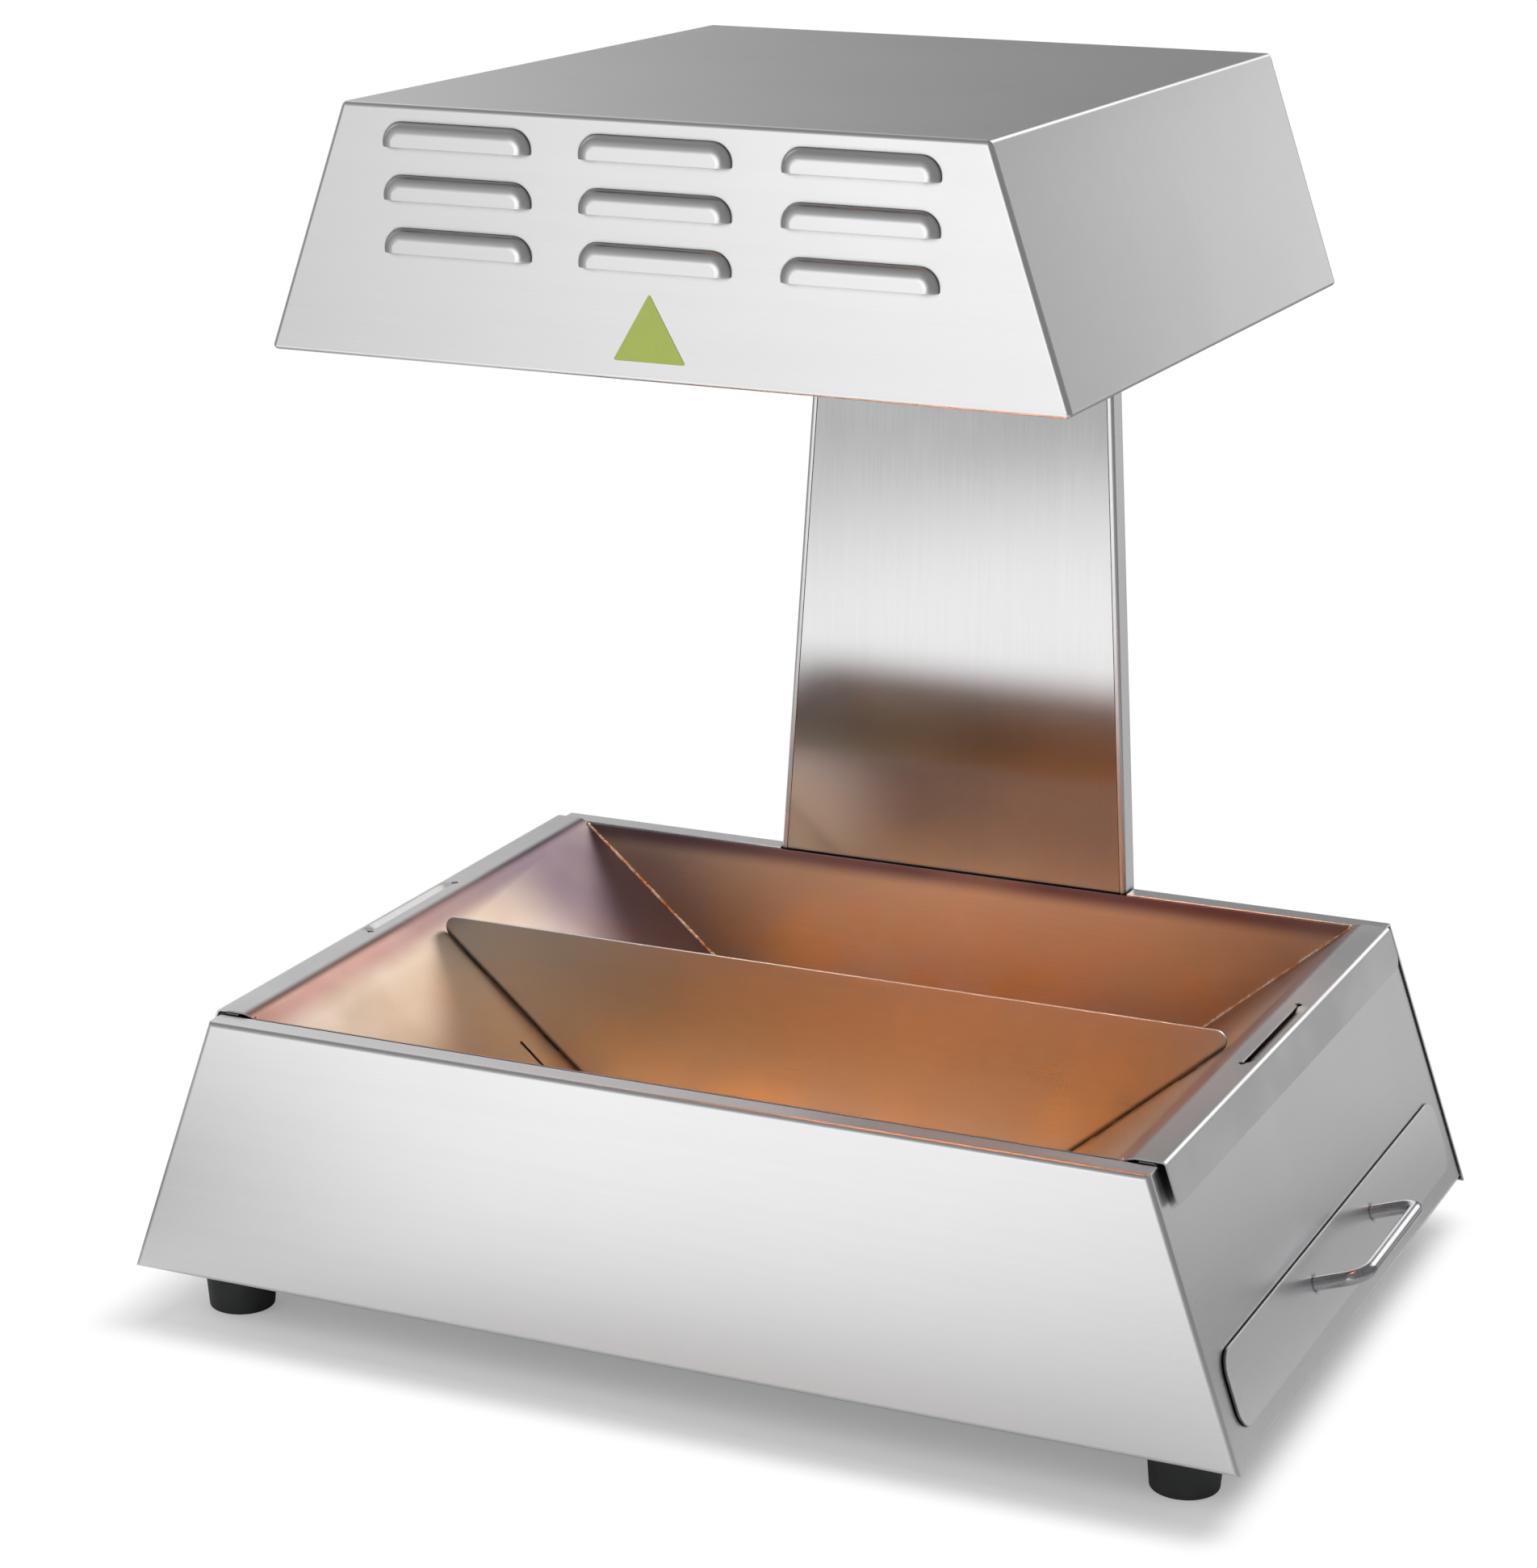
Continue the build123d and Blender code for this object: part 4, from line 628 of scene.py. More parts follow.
@dataclass
class Finishes:
    """Every finish of the warmer, made once and handed to the sub-assemblies."""

    panel_x: Material = field(init=False)
    panel_y: Material = field(init=False)
    column: Material = field(init=False)
    column_front: Material = field(init=False)
    plate: Material = field(init=False)
    hopper: Material = field(init=False)
    galvanised: Material = field(init=False)
    zinc: Material = field(init=False)
    screw: Material = field(init=False)
    bar: Material = field(init=False)
    wire: Material = field(init=False)
    mirror: Material = field(init=False)
    rubber: Material = field(init=False)
    nylon_black: Material = field(init=False)
    nylon_cream: Material = field(init=False)
    ceramic: Material = field(init=False)
    sleeve: Material = field(init=False)
    quartz: Material = field(init=False)
    coil: Material = field(init=False)
    film: Material = field(init=False)
    weld: Material = field(init=False)
    mark: Material = field(init=False)

    def __post_init__(self) -> None:
        """Build the materials."""
        # Brushed sheet draws reflections out along its grain, so each panel has its own.
        self.panel_x = BrushedStainless("brushed_304_stainless_along_x").build()
        self.panel_y = BrushedStainless("brushed_304_stainless_along_y", Grain.ALONG_Y).build()
        self.column = BrushedStainless("brushed_304_stainless_along_z", Grain.ALONG_Z).build()
        # Finer brushing mirrors the hopper. Painted shade darkens it up high under the hood, and a
        # painted reflection of the dark hopper darkens a band down low.
        self.column_front = BrushedStainless(
            "fine_brushed_304_stainless_over_the_food", Grain.ALONG_Z, "#d8d8d9", "#d3d3d4",
            roughness=0.13, painted_top_shade_z=(0.42, 0.56), painted_reflection_band_z=(0.235, 0.275, 0.293, 0.328)).build()
        # The drawer's plate is given lighter colours than the other brushed sheets, which keeps it
        # the brightest sheet.
        self.plate = BrushedStainless("bright_brushed_304_stainless_along_y", Grain.ALONG_Y,
                                      "#f2f2f3", "#eeeeef").build()
        self.hopper = HopperStainless().build()
        self.galvanised = GalvanisedSheet().build()
        # Bright zinc is warm grey and satin, and tumbling leaves screws soft and even.
        self.zinc = PlainMetal("zinc_plated_steel", "#c9c6b8", "#b0ada0", 0.34).build()
        self.screw = PlainMetal("tumbled_stainless", "#cfcfcf", "#b9b9ba", 0.28).build()
        # Polish gives the bar, the wires and the reflector long, nearly sharp highlights.
        self.bar = PlainMetal("polished_stainless_bar", "#b9b9bb", "#a5a5a8", 0.16,
                              (1.0, 30.0, 1.0)).build()
        self.wire = PlainMetal("bright_plated_wire", "#cfcfcf", "#bdbdbd", 0.18).build()
        self.mirror = PlainMetal("polished_anodised_aluminium", "#e6e4e0", "#dad8d4", 0.12,
                                 (120.0, 4.0, 4.0)).build()
        # Rubber is dull, nylon has a moulded sheen, and unglazed ceramic is chalky.
        self.rubber = Dielectric("moulded_black_rubber", "#2a2b2b", "#1f2020", 0.62).build()
        self.nylon_black = Dielectric("moulded_black_nylon", "#1d1d1e", "#161617", 0.42).build()
        self.nylon_cream = Dielectric("moulded_cream_nylon", "#ddd8c4", "#cfc9b3", 0.45).build()
        self.ceramic = Dielectric("fired_steatite", "#e9e4d6", "#dcd5c4", 0.55).build()
        # The sleeve's weave breaks up any highlight.
        self.sleeve = Dielectric("braided_glass_sleeve", "#cfc7b6", "#a99f8c", 0.8,
                                 (0.8, 0.8, 0.8), 0.2).build()
        self.quartz = ClearQuartz().build()
        self.coil = GlowingWire().build()
        self.film = PrintedFilm().build()
        self.weld = WeldedSeam().build()
        # Pad print is thin, flat ink: plain white with hardly any sheen.
        self.mark = Dielectric("white_pad_print", "#e8e8e6", "#dededc", 0.5).build()


# --------------------------------------------------------------------------------------
# Mesh helpers
# --------------------------------------------------------------------------------------
def finish_mesh(name: str, bm: Mesh, material: Material, body: str,
                smooth: bool = True) -> bpy.types.Object:
    """Turn a bmesh into a piece that rides on a body.

    Args:
        name: Name of the piece.
        bm: Finished mesh in metres, in the model's frame. It is freed.
        material: Finish of the piece.
        body: Body that carries it.
        smooth: Whether its faces are shaded smooth.

    Returns:
        The new object.
    """
    bmesh.ops.remove_doubles(bm, verts=bm.verts, dist=MERGE)
    bmesh.ops.recalc_face_normals(bm, faces=bm.faces)
    mesh = bpy.data.meshes.new(name)
    bm.to_mesh(mesh)
    bm.free()
    mesh.materials.append(material)
    for face in mesh.polygons:
        face.use_smooth = smooth
    piece = bpy.data.objects.new(name, mesh)
    bpy.context.scene.collection.objects.link(piece)
    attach(piece, body)
    LOG.info("piece %s: %d faces on %s", name, len(mesh.polygons), body)
    return piece


def dress(frame: dict, material: Material, nodes: Iterable[str]) -> None:
    """Give CAD nodes a finish.

    Args:
        material: Finish.
        nodes: Names of the nodes.
    """
    for name in nodes:
        slots = frame["nodes"][name].data.materials
        slots.clear()
        slots.append(material)
        LOG.info("node %s: %s", name, material.name)


def sharp_by_angle(piece: bpy.types.Object, degrees: float = 35.0) -> None:
    """Shade a piece smooth but for its sharp edges.

    Args:
        piece: Piece to shade.
        degrees: Angle between faces that makes an edge sharp.
    """
    limit = math.radians(degrees)
    bm = bmesh.new()
    bm.from_mesh(piece.data)
    for edge in bm.edges:
        edge.smooth = len(edge.link_faces) == 2 and edge.calc_face_angle(0.0) < limit
    bm.to_mesh(piece.data)
    bm.free()


def lathe(bm: Mesh, profile: Sequence[tuple[float, float]], place: Matrix,
          steps: int = 32) -> None:
    """Spin a profile of radius and height in millimetres about the Z axis of a place.

    Args:
        bm: Mesh that takes the shape.
        profile: Radius and height pairs, from the bottom axis to the top axis.
        place: Where the shape stands.
        steps: Facets round it.
    """
    before = set(bm.verts)
    verts = [bm.verts.new((r * MM, 0, z * MM)) for r, z in profile]
    edges = [bm.edges.new(pair) for pair in zip(verts, verts[1:])]
    bmesh.ops.spin(bm, geom=verts + edges, cent=(0, 0, 0), axis=(0, 0, 1), angle=math.tau,
                   steps=steps, use_merge=True)
    bmesh.ops.transform(bm, matrix=place, verts=[v for v in bm.verts if v not in before])


def along(direction: Vector) -> Matrix:
    """Turn that lays the Z axis along a direction."""
    return direction.to_track_quat("Z", "Y").to_matrix().to_4x4()


def box(bm: Mesh, size_mm: Sequence[float], place: Matrix) -> None:
    """Add a box.

    Args:
        bm: Mesh that takes it.
        size_mm: Its lengths in millimetres.
        place: Where its middle is.
    """
    verts = bmesh.ops.create_cube(bm, size=1.0)["verts"]
    shape = Matrix.Diagonal((*(length * MM for length in size_mm), 1))
    bmesh.ops.transform(bm, matrix=place @ shape, verts=verts)


def shift(x: float, y: float, z: float) -> Matrix:
    """Move by millimetres along each axis."""
    return Matrix.Translation(Vector((x, y, z)) * MM)


# --------------------------------------------------------------------------------------
# Sub-assemblies
# --------------------------------------------------------------------------------------
@dataclass
class Housing:
    """Sloping housing with its bottom plate, feet and fixings."""

    finishes: Finishes
    panels: tuple[str, ...] = ("base_front_panel", "base_rear_panel")
    sides: tuple[str, ...] = ("base_side_panel_left", "base_side_panel_right")
    inner_sheets: tuple[str, ...] = ("base_bottom_plate", "drawer_guide_front",
                                     "drawer_guide_rear")

    def dress(self, frame: dict) -> None:
        """Give the housing's nodes their finishes.
        """
        finishes = self.finishes
        dress(frame, finishes.panel_x, self.panels)
        dress(frame, finishes.panel_y, self.sides)
        dress(frame, finishes.galvanised, self.inner_sheets)
        dress(frame, finishes.rubber, (f"foot_{corner}" for corner in CORNERS))
        dress(frame, finishes.zinc, ("foot_washers", "foot_screws", "foot_nuts"))


@dataclass
class Column:
    """Column with its covers, brackets and cross-recessed cover screws.

    Screws are placed from the column's middle and the housing's underside.
    """

    finishes: Finishes
    screw_xz_mm: tuple[tuple[float, float], ...] = ((70, 40), (70, 82), (55, 575), (55, 636))
    centre_x_mm: float = -4.0
    rear_y_mm: float = 227.5
    head_radius_mm: float = 4.0
    head_height_mm: float = 2.4
    shaft_radius_mm: float = 2.0
    shaft_length_mm: float = 10.5
    dome_foot: float = 0.35             # height of the head's upright rim, as a share of the head
    dimple_mm: tuple[tuple[float, float], ...] = ((1.5, 0.0), (1.3, -0.1), (0.3, -1.3), (0.0, -1.3))
    wing_mm: tuple[float, float, float] = (1.9, 0.55, 0.5)      # one arm of the cross recess
    wing_out_mm: float = 1.15
    wing_down_mm: float = 0.28
    recess_turn_deg: float = 20.0
    facets: int = 24

    def dress(self, frame: dict) -> None:
        """Give the column's nodes their finishes.
        """
        finishes = self.finishes
        dress(frame, finishes.column, ("column_channel", "column_rear_cover"))
        dress(frame, finishes.column_front, ("column_front_cover",))
        dress(frame, finishes.galvanised, ("column_foot_bracket", "column_head_bracket"))
        dress(frame, finishes.zinc, ("column_foot_bolts", "column_foot_nuts", "rear_cover_nuts"))

    def screws(self) -> None:
        """Model the cover's pan-head screws with their cross recesses."""
        bm = bmesh.new()
        for x, z in self.screw_xz_mm:
            for side in (-1, 1):
                spot = shift(self.centre_x_mm + side * x, self.rear_y_mm, z + FOOT_HEIGHT / MM)
                self._screw(bm, spot @ along(Vector((0, 1, 0))))
        piece = finish_mesh("cross_recessed_cover_screws", bm, self.finishes.screw, "warmer_body")
        sharp_by_angle(piece)
        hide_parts("rear_cover_screws")

    def _screw(self, bm: Mesh, place: Matrix) -> None:
        """Add one screw.

        Args:
            bm: Mesh that takes it.
            place: Where it goes in, with Z pointing out of the sheet.
        """
        radius, height, foot = self.head_radius_mm, self.head_height_mm, self.dome_foot
        angles = [math.radians(degrees) for degrees in range(0, 76, 15)]
        dome = [(radius * math.cos(angle), height * (foot + (1 - foot) * math.sin(angle)))
                for angle in angles]
        dimple = [(out, height + up) for out, up in self.dimple_mm]
        profile = [(0, -self.shaft_length_mm), (self.shaft_radius_mm, -self.shaft_length_mm),
                   (self.shaft_radius_mm, 0), (radius, 0), *dome, *dimple]
        lathe(bm, profile, place, self.facets)
        wing = shift(self.wing_out_mm, 0, height - self.wing_down_mm)
        for quarter in range(4):
            turn = Matrix.Rotation(math.radians(90 * quarter + self.recess_turn_deg), 4, "Z")
            box(bm, self.wing_mm, place @ turn @ wing)


@dataclass
class Hood:
    """Hood with its plain triangular film sign."""

    finishes: Finishes
    sign_side_mm: float = 39.5
    sign_low_centre_mm: tuple[float, float] = (-3.0, 541.0)     # middle of its lower edge
    sign_corner_mm: float = 1.2
    sign_thickness_mm: float = 0.25
    corner_facets: int = 5
    front_y_mm: float = -225.0

    def dress(self, frame: dict) -> None:
        """Give the hood's shell its finish."""
        dress(frame, self.finishes.panel_x, ("hood_shell",))

    def sign(self) -> None:
        """Model the blank film sign under the louvres."""
        half, height = self.sign_side_mm / 2, self.sign_side_mm * math.sqrt(3) / 2
        x, z = self.sign_low_centre_mm
        bm = bmesh.new()
        corners = [(x - half, z), (x + half, z), (x, z + height)]
        bm.faces.new([bm.verts.new((across * MM, self.front_y_mm * MM, up * MM + FOOT_HEIGHT))
                      for across, up in corners])
        bmesh.ops.bevel(bm, geom=list(bm.verts), offset=self.sign_corner_mm * MM, affect="VERTICES",
                        segments=self.corner_facets, profile=0.5)
        raised = bmesh.ops.extrude_face_region(bm, geom=list(bm.faces))
        moved = [item for item in raised["geom"] if isinstance(item, bmesh.types.BMVert)]
        bmesh.ops.translate(bm, vec=(0, -self.sign_thickness_mm * MM, 0), verts=moved)
        finish_mesh("blank_triangular_film_sign", bm, self.finishes.film, "warmer_body",
                    False)


@dataclass
class Heater:
    """Quartz heaters, reflector, guard and their wiring."""

    finishes: Finishes
    heater_y_mm: float = 80.0
    heater_z_mm: float = 575.0
    half_length_mm: float = 148.0
    coil_radius_mm: float = 2.3
    wire_radius_mm: float = 0.45
    pitch_mm: float = 2.4
    turn_steps: int = 12
    wire_facets: int = 6

    def dress(self, frame: dict) -> None:
        """Give the heater's nodes their finishes.
        """
        finishes = self.finishes
        dress(frame, finishes.mirror, ("reflector", "reflector_end_left", "reflector_end_right"))
        dress(frame, finishes.wire, ("guard_frame", "guard_wires"))
        dress(frame, finishes.zinc, ("hanger_posts",))
        dress(frame, finishes.quartz, ("quartz_tube_front", "quartz_tube_rear"))
        dress(frame, finishes.ceramic, (f"heater_cap_{corner}" for corner in CORNERS))
        dress(frame, finishes.sleeve, (f"heater_lead_{corner}" for corner in CORNERS))
        dress(frame, finishes.nylon_cream, ("hood_terminal_block",))

    def coils(self) -> None:
        """Wind the heating coil inside each tube."""
        turns = int(2 * self.half_length_mm / self.pitch_mm)
        for name, side in (("front", -1), ("rear", 1)):
            bm = bmesh.new()
            ring = bmesh.ops.create_circle(bm, segments=self.wire_facets,
                                           radius=self.wire_radius_mm * MM)["verts"]
            start = Vector((-self.half_length_mm, side * self.heater_y_mm, self.heater_z_mm)) * MM
            start.z += FOOT_HEIGHT
            lay = Matrix.Translation(start + Vector((0, 0, self.coil_radius_mm * MM)))
            upright = Matrix.Rotation(math.radians(90), 4, "X")
            bmesh.ops.transform(bm, matrix=lay @ upright, verts=ring)
            edges = list({edge for vert in ring for edge in vert.link_edges})
            bmesh.ops.spin(bm, geom=ring + edges, cent=start, axis=(1, 0, 0),
                           dvec=(self.pitch_mm * MM / self.turn_steps, 0, 0),
                           angle=math.tau * turns, steps=turns * self.turn_steps)
            piece = finish_mesh(f"wound_heating_coil_{name}", bm, self.finishes.coil,
                                "warmer_body")
            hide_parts(f"heater_coil_{name}")


@dataclass
class Hopper:
    """Hopper pan with its welded corners, and the loose divider.

    Heights are from the housing's underside.
    """

    finishes: Finishes
    mouth_half_mm: float = 255.5
    floor_half_mm: float = 146.0
    half_depth_mm: float = 208.5
    top_mm: float = 156.0
    end_top_mm: float = 153.5
    floor_mm: float = 62.0
    bead_radius_mm: float = 1.3
    ripple_mm: float = 6.0
    ripple_swell: float = 0.12
    hand_swell: float = 0.06            # slow unevenness of a bead laid by hand
    hand_pace: float = 0.37
    bead_facets: int = 8
    sheet_mm: float = 1.0

    def dress(self, frame: dict) -> None:
        """Give the hopper's nodes their finishes.
        """
        dress(frame, self.finishes.hopper, ("hopper_pan",))
        dress(frame, self.finishes.panel_x, ("divider_plate",))

    def welds(self) -> None:
        """Run beads up the inner corners and along the front and rear edges of the floor."""
        bm = bmesh.new()
        slope = (self.mouth_half_mm - self.floor_half_mm) / (self.top_mm - self.floor_mm)
        top_half = self.mouth_half_mm - slope * (self.top_mm - self.end_top_mm)
        for side in (-1, 1):
            for end in (-1, 1):
                y = end * (self.half_depth_mm - self.sheet_mm)
                low = Vector((side * self.floor_half_mm, y, self.floor_mm)) * MM
                high = Vector((side * top_half, y, self.end_top_mm)) * MM
                self._bead(bm, low, high)
        for end in (-1, 1):
            y = end * (self.half_depth_mm - self.sheet_mm)
            self._bead(bm, Vector((-self.floor_half_mm, y, self.floor_mm)) * MM,
                       Vector((self.floor_half_mm, y, self.floor_mm)) * MM)
        finish_mesh("hopper_corner_welds", bm, self.finishes.weld, "hopper_pan")

    def _bead(self, bm: Mesh, low: Vector, high: Vector) -> None:
        """Add one rippled bead.

        Args:
            bm: Mesh that takes it.
            low: Where it starts, from the housing's underside.
            high: Where it ends.
        """
        length = (high - low).length
        turn = along(high - low)
        stations = int(length / (self.ripple_mm * MM / 3))
        loops = []
        for index in range(stations + 1):
            swell = (1 + self.ripple_swell * math.sin(index * math.tau / 3)
                     + self.hand_swell * math.sin(index * self.hand_pace))
            radius = self.bead_radius_mm * MM * swell
            ring = bmesh.ops.create_circle(bm, segments=self.bead_facets, radius=radius)["verts"]
            spot = low.lerp(high, index / stations) + Vector((0, 0, FOOT_HEIGHT))
            bmesh.ops.transform(bm, matrix=Matrix.Translation(spot) @ turn, verts=ring)
            loops.append(list({edge for vert in ring for edge in vert.link_edges}))
        for near, far in zip(loops, loops[1:]):
            bmesh.ops.bridge_loops(bm, edges=near + far)
        bmesh.ops.holes_fill(bm, edges=loops[0] + loops[-1])


@dataclass
class Drawer:
    """Crumb drawer with its front plate and bar handle."""

    finishes: Finishes

    def dress(self, frame: dict) -> None:
        """Give the drawer's nodes their finishes.
        """
        finishes = self.finishes
        dress(frame, finishes.plate, ("drawer_front_plate",))
        dress(frame, finishes.panel_y, ("drawer_tray", "drawer_side_front", "drawer_side_rear"))
        dress(frame, finishes.bar, ("drawer_handle",))
        dress(frame, finishes.screw, ("handle_screws",))


@dataclass
class PowerEntry:
    """Rocker switch, empty cable gland, terminals and harness."""

    finishes: Finishes
    pivot_mm: tuple[float, float, float] = (-232.0, 222.5, 100.0)   # axis of the rocker
    tilt_deg: float = 10.0
    line_mm: tuple[float, float, float] = (0.9, 0.5, 4.2)
    line_place_mm: tuple[float, float, float] = (0, 4.45, 6.2)
    ring_mm: tuple[float, float, float] = (1.5, 2.2, 0.5)       # inner and outer radius, depth
    ring_place_mm: tuple[float, float, float] = (0, 4.2, -6.2)

    def dress(self, frame: dict) -> None:
        """Give the electrical nodes their finishes.
        """
        finishes = self.finishes
        dress(frame, finishes.nylon_black, ("switch_housing", "switch_rocker", "cable_gland_body",
                                            "cable_gland_dome", "cable_gland_lock_nut"))
        dress(frame, finishes.nylon_cream, ("base_terminal_block",))
        dress(frame, finishes.sleeve, ("column_harness", "switch_lead_left", "switch_lead_right"))

    def marks(self) -> None:
        """Print the line and the ring that stand for on and off on the rocker."""
        pivot = Vector(self.pivot_mm) * MM + Vector((0, 0, FOOT_HEIGHT))
        place = Matrix.Translation(pivot) @ Matrix.Rotation(math.radians(self.tilt_deg), 4, "X")
        upright = Matrix.Rotation(math.radians(-90), 4, "X")
        bm = bmesh.new()
        box(bm, self.line_mm, place @ shift(*self.line_place_mm))
        inner, outer, depth = self.ring_mm
        profile = [(inner, 0), (outer, 0), (outer, depth), (inner, depth), (inner, 0)]
        lathe(bm, profile, place @ shift(*self.ring_place_mm) @ upright)
        finish_mesh("rocker_on_off_marks", bm, self.finishes.mark, "switch_rocker",
                    False)


# --------------------------------------------------------------------------------------
# Studio
# --------------------------------------------------------------------------------------
@dataclass(frozen=True)
class SoftLamp:
    """Rectangular lamp aimed at a point, and hidden from the camera itself."""

    name: str
    place: tuple[float, float, float]
    aim: tuple[float, float, float]
    size: tuple[float, float]
    watts: float
    colour: str = WHITE
    spread_deg: float = 180.0
    mirrored: bool = True

    def build(self) -> None:
        """Add the lamp to the scene."""
        data = bpy.data.lights.new(self.name, "AREA")
        data.shape = "RECTANGLE"
        data.size, data.size_y = self.size
        data.energy = self.watts
        data.spread = math.radians(self.spread_deg)
        data.color = linear(self.colour)[:3]
        lamp = bpy.data.objects.new(self.name, data)
        lamp.visible_glossy = self.mirrored
        lamp.visible_camera = False
        lamp.location = self.place
        aim = Vector(self.aim) - Vector(self.place)
        lamp.rotation_euler = aim.to_track_quat("-Z", "Y").to_euler()
        bpy.context.scene.collection.objects.link(lamp)


@dataclass(frozen=True)
class Card:
    """Broad soft patch of the studio's light, as a direction and a spread."""

    direction: tuple[float, float, float]
    half_angle_deg: float
    strength: float


@dataclass(frozen=True)
class Pool:
    """Round pool of light, or of shade, that the metal sees on the floor."""

    centre: tuple[float, float]
    inner: float
    outer: float
    level: float


@dataclass
class Studio:
    """Pale floor, white backdrop, soft lamps and the camera, in metres.

    The camera sees plain white. Metal mirrors a dimmer room with brighter cards and a floor with
    pools of light and shade, which gives each panel its gradient.
    """

    camera_place: tuple[float, float, float] = (0.8520, -2.0228, 0.9298)
    camera_aim: tuple[float, float, float] = (-0.0351, 0.0, 0.2925)
    camera_roll_deg: float = 0.46
    focal_mm: float = 92.93
    sensor_mm: float = 36.0
    clip_end: float = 50.0
    floor_radius: float = 1.7
    floor_facets: int = 96
    floor_centre: tuple[float, float] = (-0.25, -0.75)
    ambient: float = 0.26               # level of the room that metal mirrors
    cards: tuple[Card, ...] = (
        Card((-0.36, -0.92, 0.10), 55, 0.20),
        Card((-0.180, -0.980, -0.087), 26, 1.20),
        Card((0.256, 0.835, 0.485), 22, 1.90),
        Card((0.42, 0.90, -0.14), 18, 0.42),
        Card((-0.80, 0.50, 0.42), 40, 0.85),
    )
    footprint_centre: tuple[float, float] = (-0.012, 0.0)
    footprint: tuple[float, float] = (0.313, 0.225)     # half sizes of the shaded patch below it
    floor_lift: float = 0.26            # white added to the floor inside that patch
    camera_white: tuple[float, float] = (0.002, 0.032)  # reach past it at which white takes over
    mirror_base: float = 0.50           # level of the floor that metal mirrors
    mirror_fade: tuple[float, float] = (0.03, 0.22)     # reach at which that level takes over
    pools: tuple[Pool, ...] = (
        Pool((-0.25, -1.05), 0.30, 1.20, 0.78),
        Pool((-0.62, -0.35), 0.12, 0.42, -0.50),
        Pool((0.60, 0.36), 0.05, 0.42, -0.22),
    )
    lamps: tuple[SoftLamp, ...] = (
        SoftLamp("key_softbox_left", (-1.8, -2.0, 1.9), (0, 0, 0.3), (1.8, 1.6), 34,
                 mirrored=False),
        SoftLamp("fill_softbox_right", (2.4, -0.6, 1.2), (0, 0, 0.3), (1.4, 1.6), 8,
                 mirrored=False),
        SoftLamp("top_softbox", (0.0, 0.3, 2.6), (0, 0, 0.3), (2.0, 1.6), 26, mirrored=False),
        SoftLamp("side_softbox", (0.38, 1.05, 0.66), (0.3, 0.0, 0.62), (0.5, 0.35), 0.26),
        SoftLamp("heater_glow_front", (0.03, -0.08, 0.597), (0.03, -0.08, 0.2), (0.30, 0.10),
                 0.55, "#ffb27a", 40),
        SoftLamp("heater_glow_rear", (0.03, 0.08, 0.597), (0.03, 0.08, 0.2), (0.30, 0.10),
                 0.85, "#ffb27a", 40),
        SoftLamp("hood_fill", (-0.08, 0.06, 0.597), (-0.08, 0.06, 0.2), (0.20, 0.16), 1.0,
                 "#fff4ea", 50),
    )

    def build(self) -> None:
        """Set up the whole studio."""
        self._floor()
        self._world()
        for lamp in self.lamps:
            lamp.build()
        self._camera()
        bpy.context.scene.view_settings.view_transform = "Standard"

    def _floor(self) -> None:
        """Add the floor: white to the camera wherever nothing shades it."""
        bm = bmesh.new()
        bmesh.ops.create_circle(bm, cap_ends=True, segments=self.floor_facets,
                                radius=self.floor_radius)
        bmesh.ops.translate(bm, verts=bm.verts[:], vec=(*self.floor_centre, 0.0))
        mesh = bpy.data.meshes.new("studio_floor")
        bm.to_mesh(mesh)
        bm.free()
        mesh.materials.append(self._floor_material())
        floor = bpy.data.objects.new("studio_floor", mesh)
        bpy.context.scene.collection.objects.link(floor)

    def _floor_material(self) -> Material:
        """Make the floor matt and shaded by contact, with pools of light for the metal to mirror.

        Returns:
            The material.
        """
        material = bpy.data.materials.new("matt_white_studio_floor")
        material.use_nodes = True
        sheet = Sheet(material.node_tree)
        shader = material.node_tree.nodes["Principled BSDF"]
        sheet.feed(shader, {"Base Color": "#f4f4f5", "Roughness": 0.9, "Specular IOR Level": 0.1})
        where = sheet.add("ShaderNodeTexCoord").outputs["Object"]
        past = sheet.add("ShaderNodeVectorMath", (where, (*self.footprint_centre, 0.0)),
                         operation="SUBTRACT")
        past = sheet.add("ShaderNodeVectorMath", (past,), operation="ABSOLUTE")
        past = sheet.add("ShaderNodeVectorMath", (past, (*self.footprint, 0.0)),
                         operation="SUBTRACT")
        past = sheet.add("ShaderNodeVectorMath", (past,), operation="MAXIMUM")
        reach = sheet.add("ShaderNodeVectorMath", (past,), operation="LENGTH")
        rays = sheet.add("ShaderNodeLightPath").outputs
        direct = sheet.add("ShaderNodeMath", (rays["Is Camera Ray"], rays["Is Transmission Ray"]),
                           operation="MAXIMUM")
        lift = sheet.add("ShaderNodeMapRange", (reach, *self.camera_white, self.floor_lift, 1.0),
                         **SMOOTH)
        clear = sheet.add("ShaderNodeMath", (direct, lift), operation="MULTIPLY")
        white = sheet.add("ShaderNodeEmission", {"Color": WHITE, "Strength": 1.0})
        shown = sheet.add("ShaderNodeMixShader", (clear, shader, white))
        level: ShaderNode | float = self.mirror_base
        for pool in self.pools:
            away = sheet.add("ShaderNodeVectorMath", (where, (*pool.centre, 0.0)),
                             operation="DISTANCE")
            patch = sheet.add("ShaderNodeMapRange", (away, pool.inner, pool.outer, pool.level, 0.0),
                              **SMOOTH)
            level = sheet.add("ShaderNodeMath", (patch, level), operation="ADD")
        lit = sheet.add("ShaderNodeEmission", {"Color": WHITE, "Strength": level})
        fade = sheet.add("ShaderNodeMapRange", (reach, *self.mirror_fade), **SMOOTH)
        mirrored = sheet.add("ShaderNodeMath", (rays["Is Glossy Ray"], fade), operation="MULTIPLY")
        top = sheet.add("ShaderNodeMixShader", (mirrored, shown, lit))
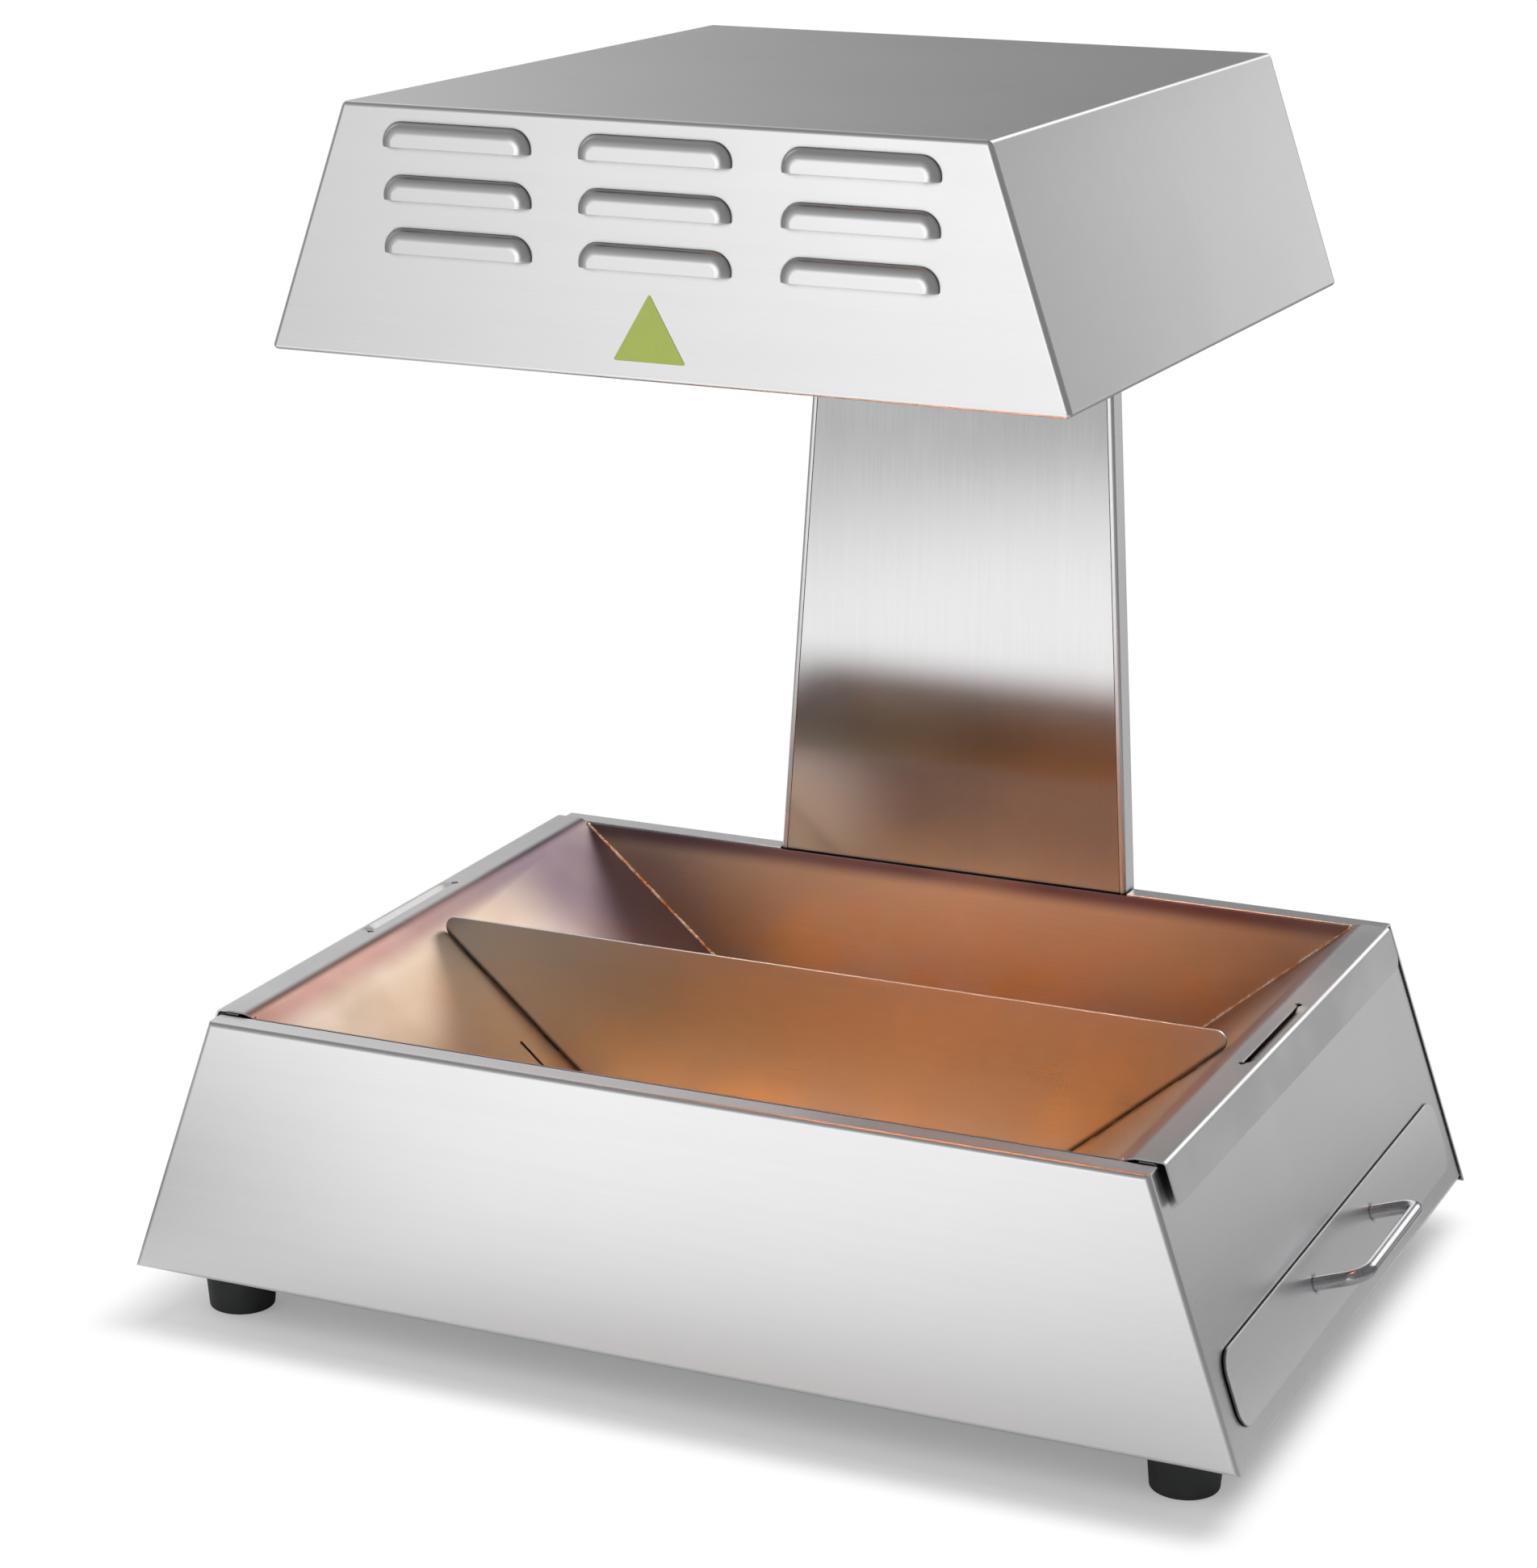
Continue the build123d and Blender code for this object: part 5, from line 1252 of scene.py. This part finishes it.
        # A camera below the floor looks through it, up at the underside.
        below = sheet.add("ShaderNodeNewGeometry").outputs["Backfacing"]
        open_below = sheet.add("ShaderNodeMath", (below, rays["Is Camera Ray"]),
                               operation="MULTIPLY")
        glass = sheet.add("ShaderNodeBsdfTransparent")
        mix = sheet.add("ShaderNodeMixShader", (open_below, top, glass))
        sheet.feed(material.node_tree.nodes["Material Output"], (mix,))
        return material

    def _world(self) -> None:
        """Soft light from all round with a few broad cards, and plain white behind the object."""
        world = bpy.data.worlds.new("soft_white_studio")
        world.use_nodes = True
        bpy.context.scene.world = world
        sheet = Sheet(world.node_tree)
        soft = world.node_tree.nodes["Background"]
        ray = sheet.add("ShaderNodeTexCoord").outputs["Generated"]
        level: ShaderNode | float = self.ambient
        for card in self.cards:
            aim = tuple(Vector(card.direction).normalized())
            facing = sheet.add("ShaderNodeVectorMath", (ray, aim), operation="DOT_PRODUCT")
            rim = math.cos(math.radians(card.half_angle_deg))
            lobe = sheet.add("ShaderNodeMapRange", (facing, rim, 1.0, 0.0, card.strength), **SMOOTH)
            level = sheet.add("ShaderNodeMath", (lobe, level), operation="ADD")
        sheet.feed(soft, {"Color": WHITE, "Strength": level})
        seen = sheet.add("ShaderNodeBackground", {"Color": WHITE, "Strength": 1.0})
        rays = sheet.add("ShaderNodeLightPath").outputs
        direct = sheet.add("ShaderNodeMath", (rays["Is Camera Ray"], rays["Is Transmission Ray"]),
                           operation="MAXIMUM")
        mix = sheet.add("ShaderNodeMixShader", (direct, soft, seen))
        sheet.feed(world.node_tree.nodes["World Output"], (mix,))

    def _camera(self) -> None:
        """Place the camera."""
        data = bpy.data.cameras.new("studio_camera")
        data.lens = self.focal_mm
        data.sensor_width = self.sensor_mm
        data.clip_end = self.clip_end
        camera = bpy.data.objects.new("studio_camera", data)
        place, aim = Vector(self.camera_place), Vector(self.camera_aim)
        turn = (aim - place).to_track_quat("-Z", "Y")
        roll = Quaternion((0, 0, 1), math.radians(self.camera_roll_deg))
        camera.rotation_mode = "QUATERNION"
        camera.rotation_quaternion = turn @ roll
        camera.location = place
        bpy.context.scene.collection.objects.link(camera)
        bpy.context.scene.camera = camera


def main() -> None:
    """Load the model, dress it, add the modelled pieces and set up the studio."""
    logging.basicConfig(level=logging.INFO, format="%(name)s %(message)s")
    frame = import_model()
    finishes = Finishes()
    column, hood, heater = Column(finishes), Hood(finishes), Heater(finishes)
    hopper, power = Hopper(finishes), PowerEntry(finishes)
    for assembly in (Housing(finishes), column, hood, heater, hopper, Drawer(finishes), power):
        assembly.dress(frame)
    column.screws()
    hood.sign()
    heater.coils()
    hopper.welds()
    power.marks()
    Studio().build()


if __name__ == "__main__":
    main()
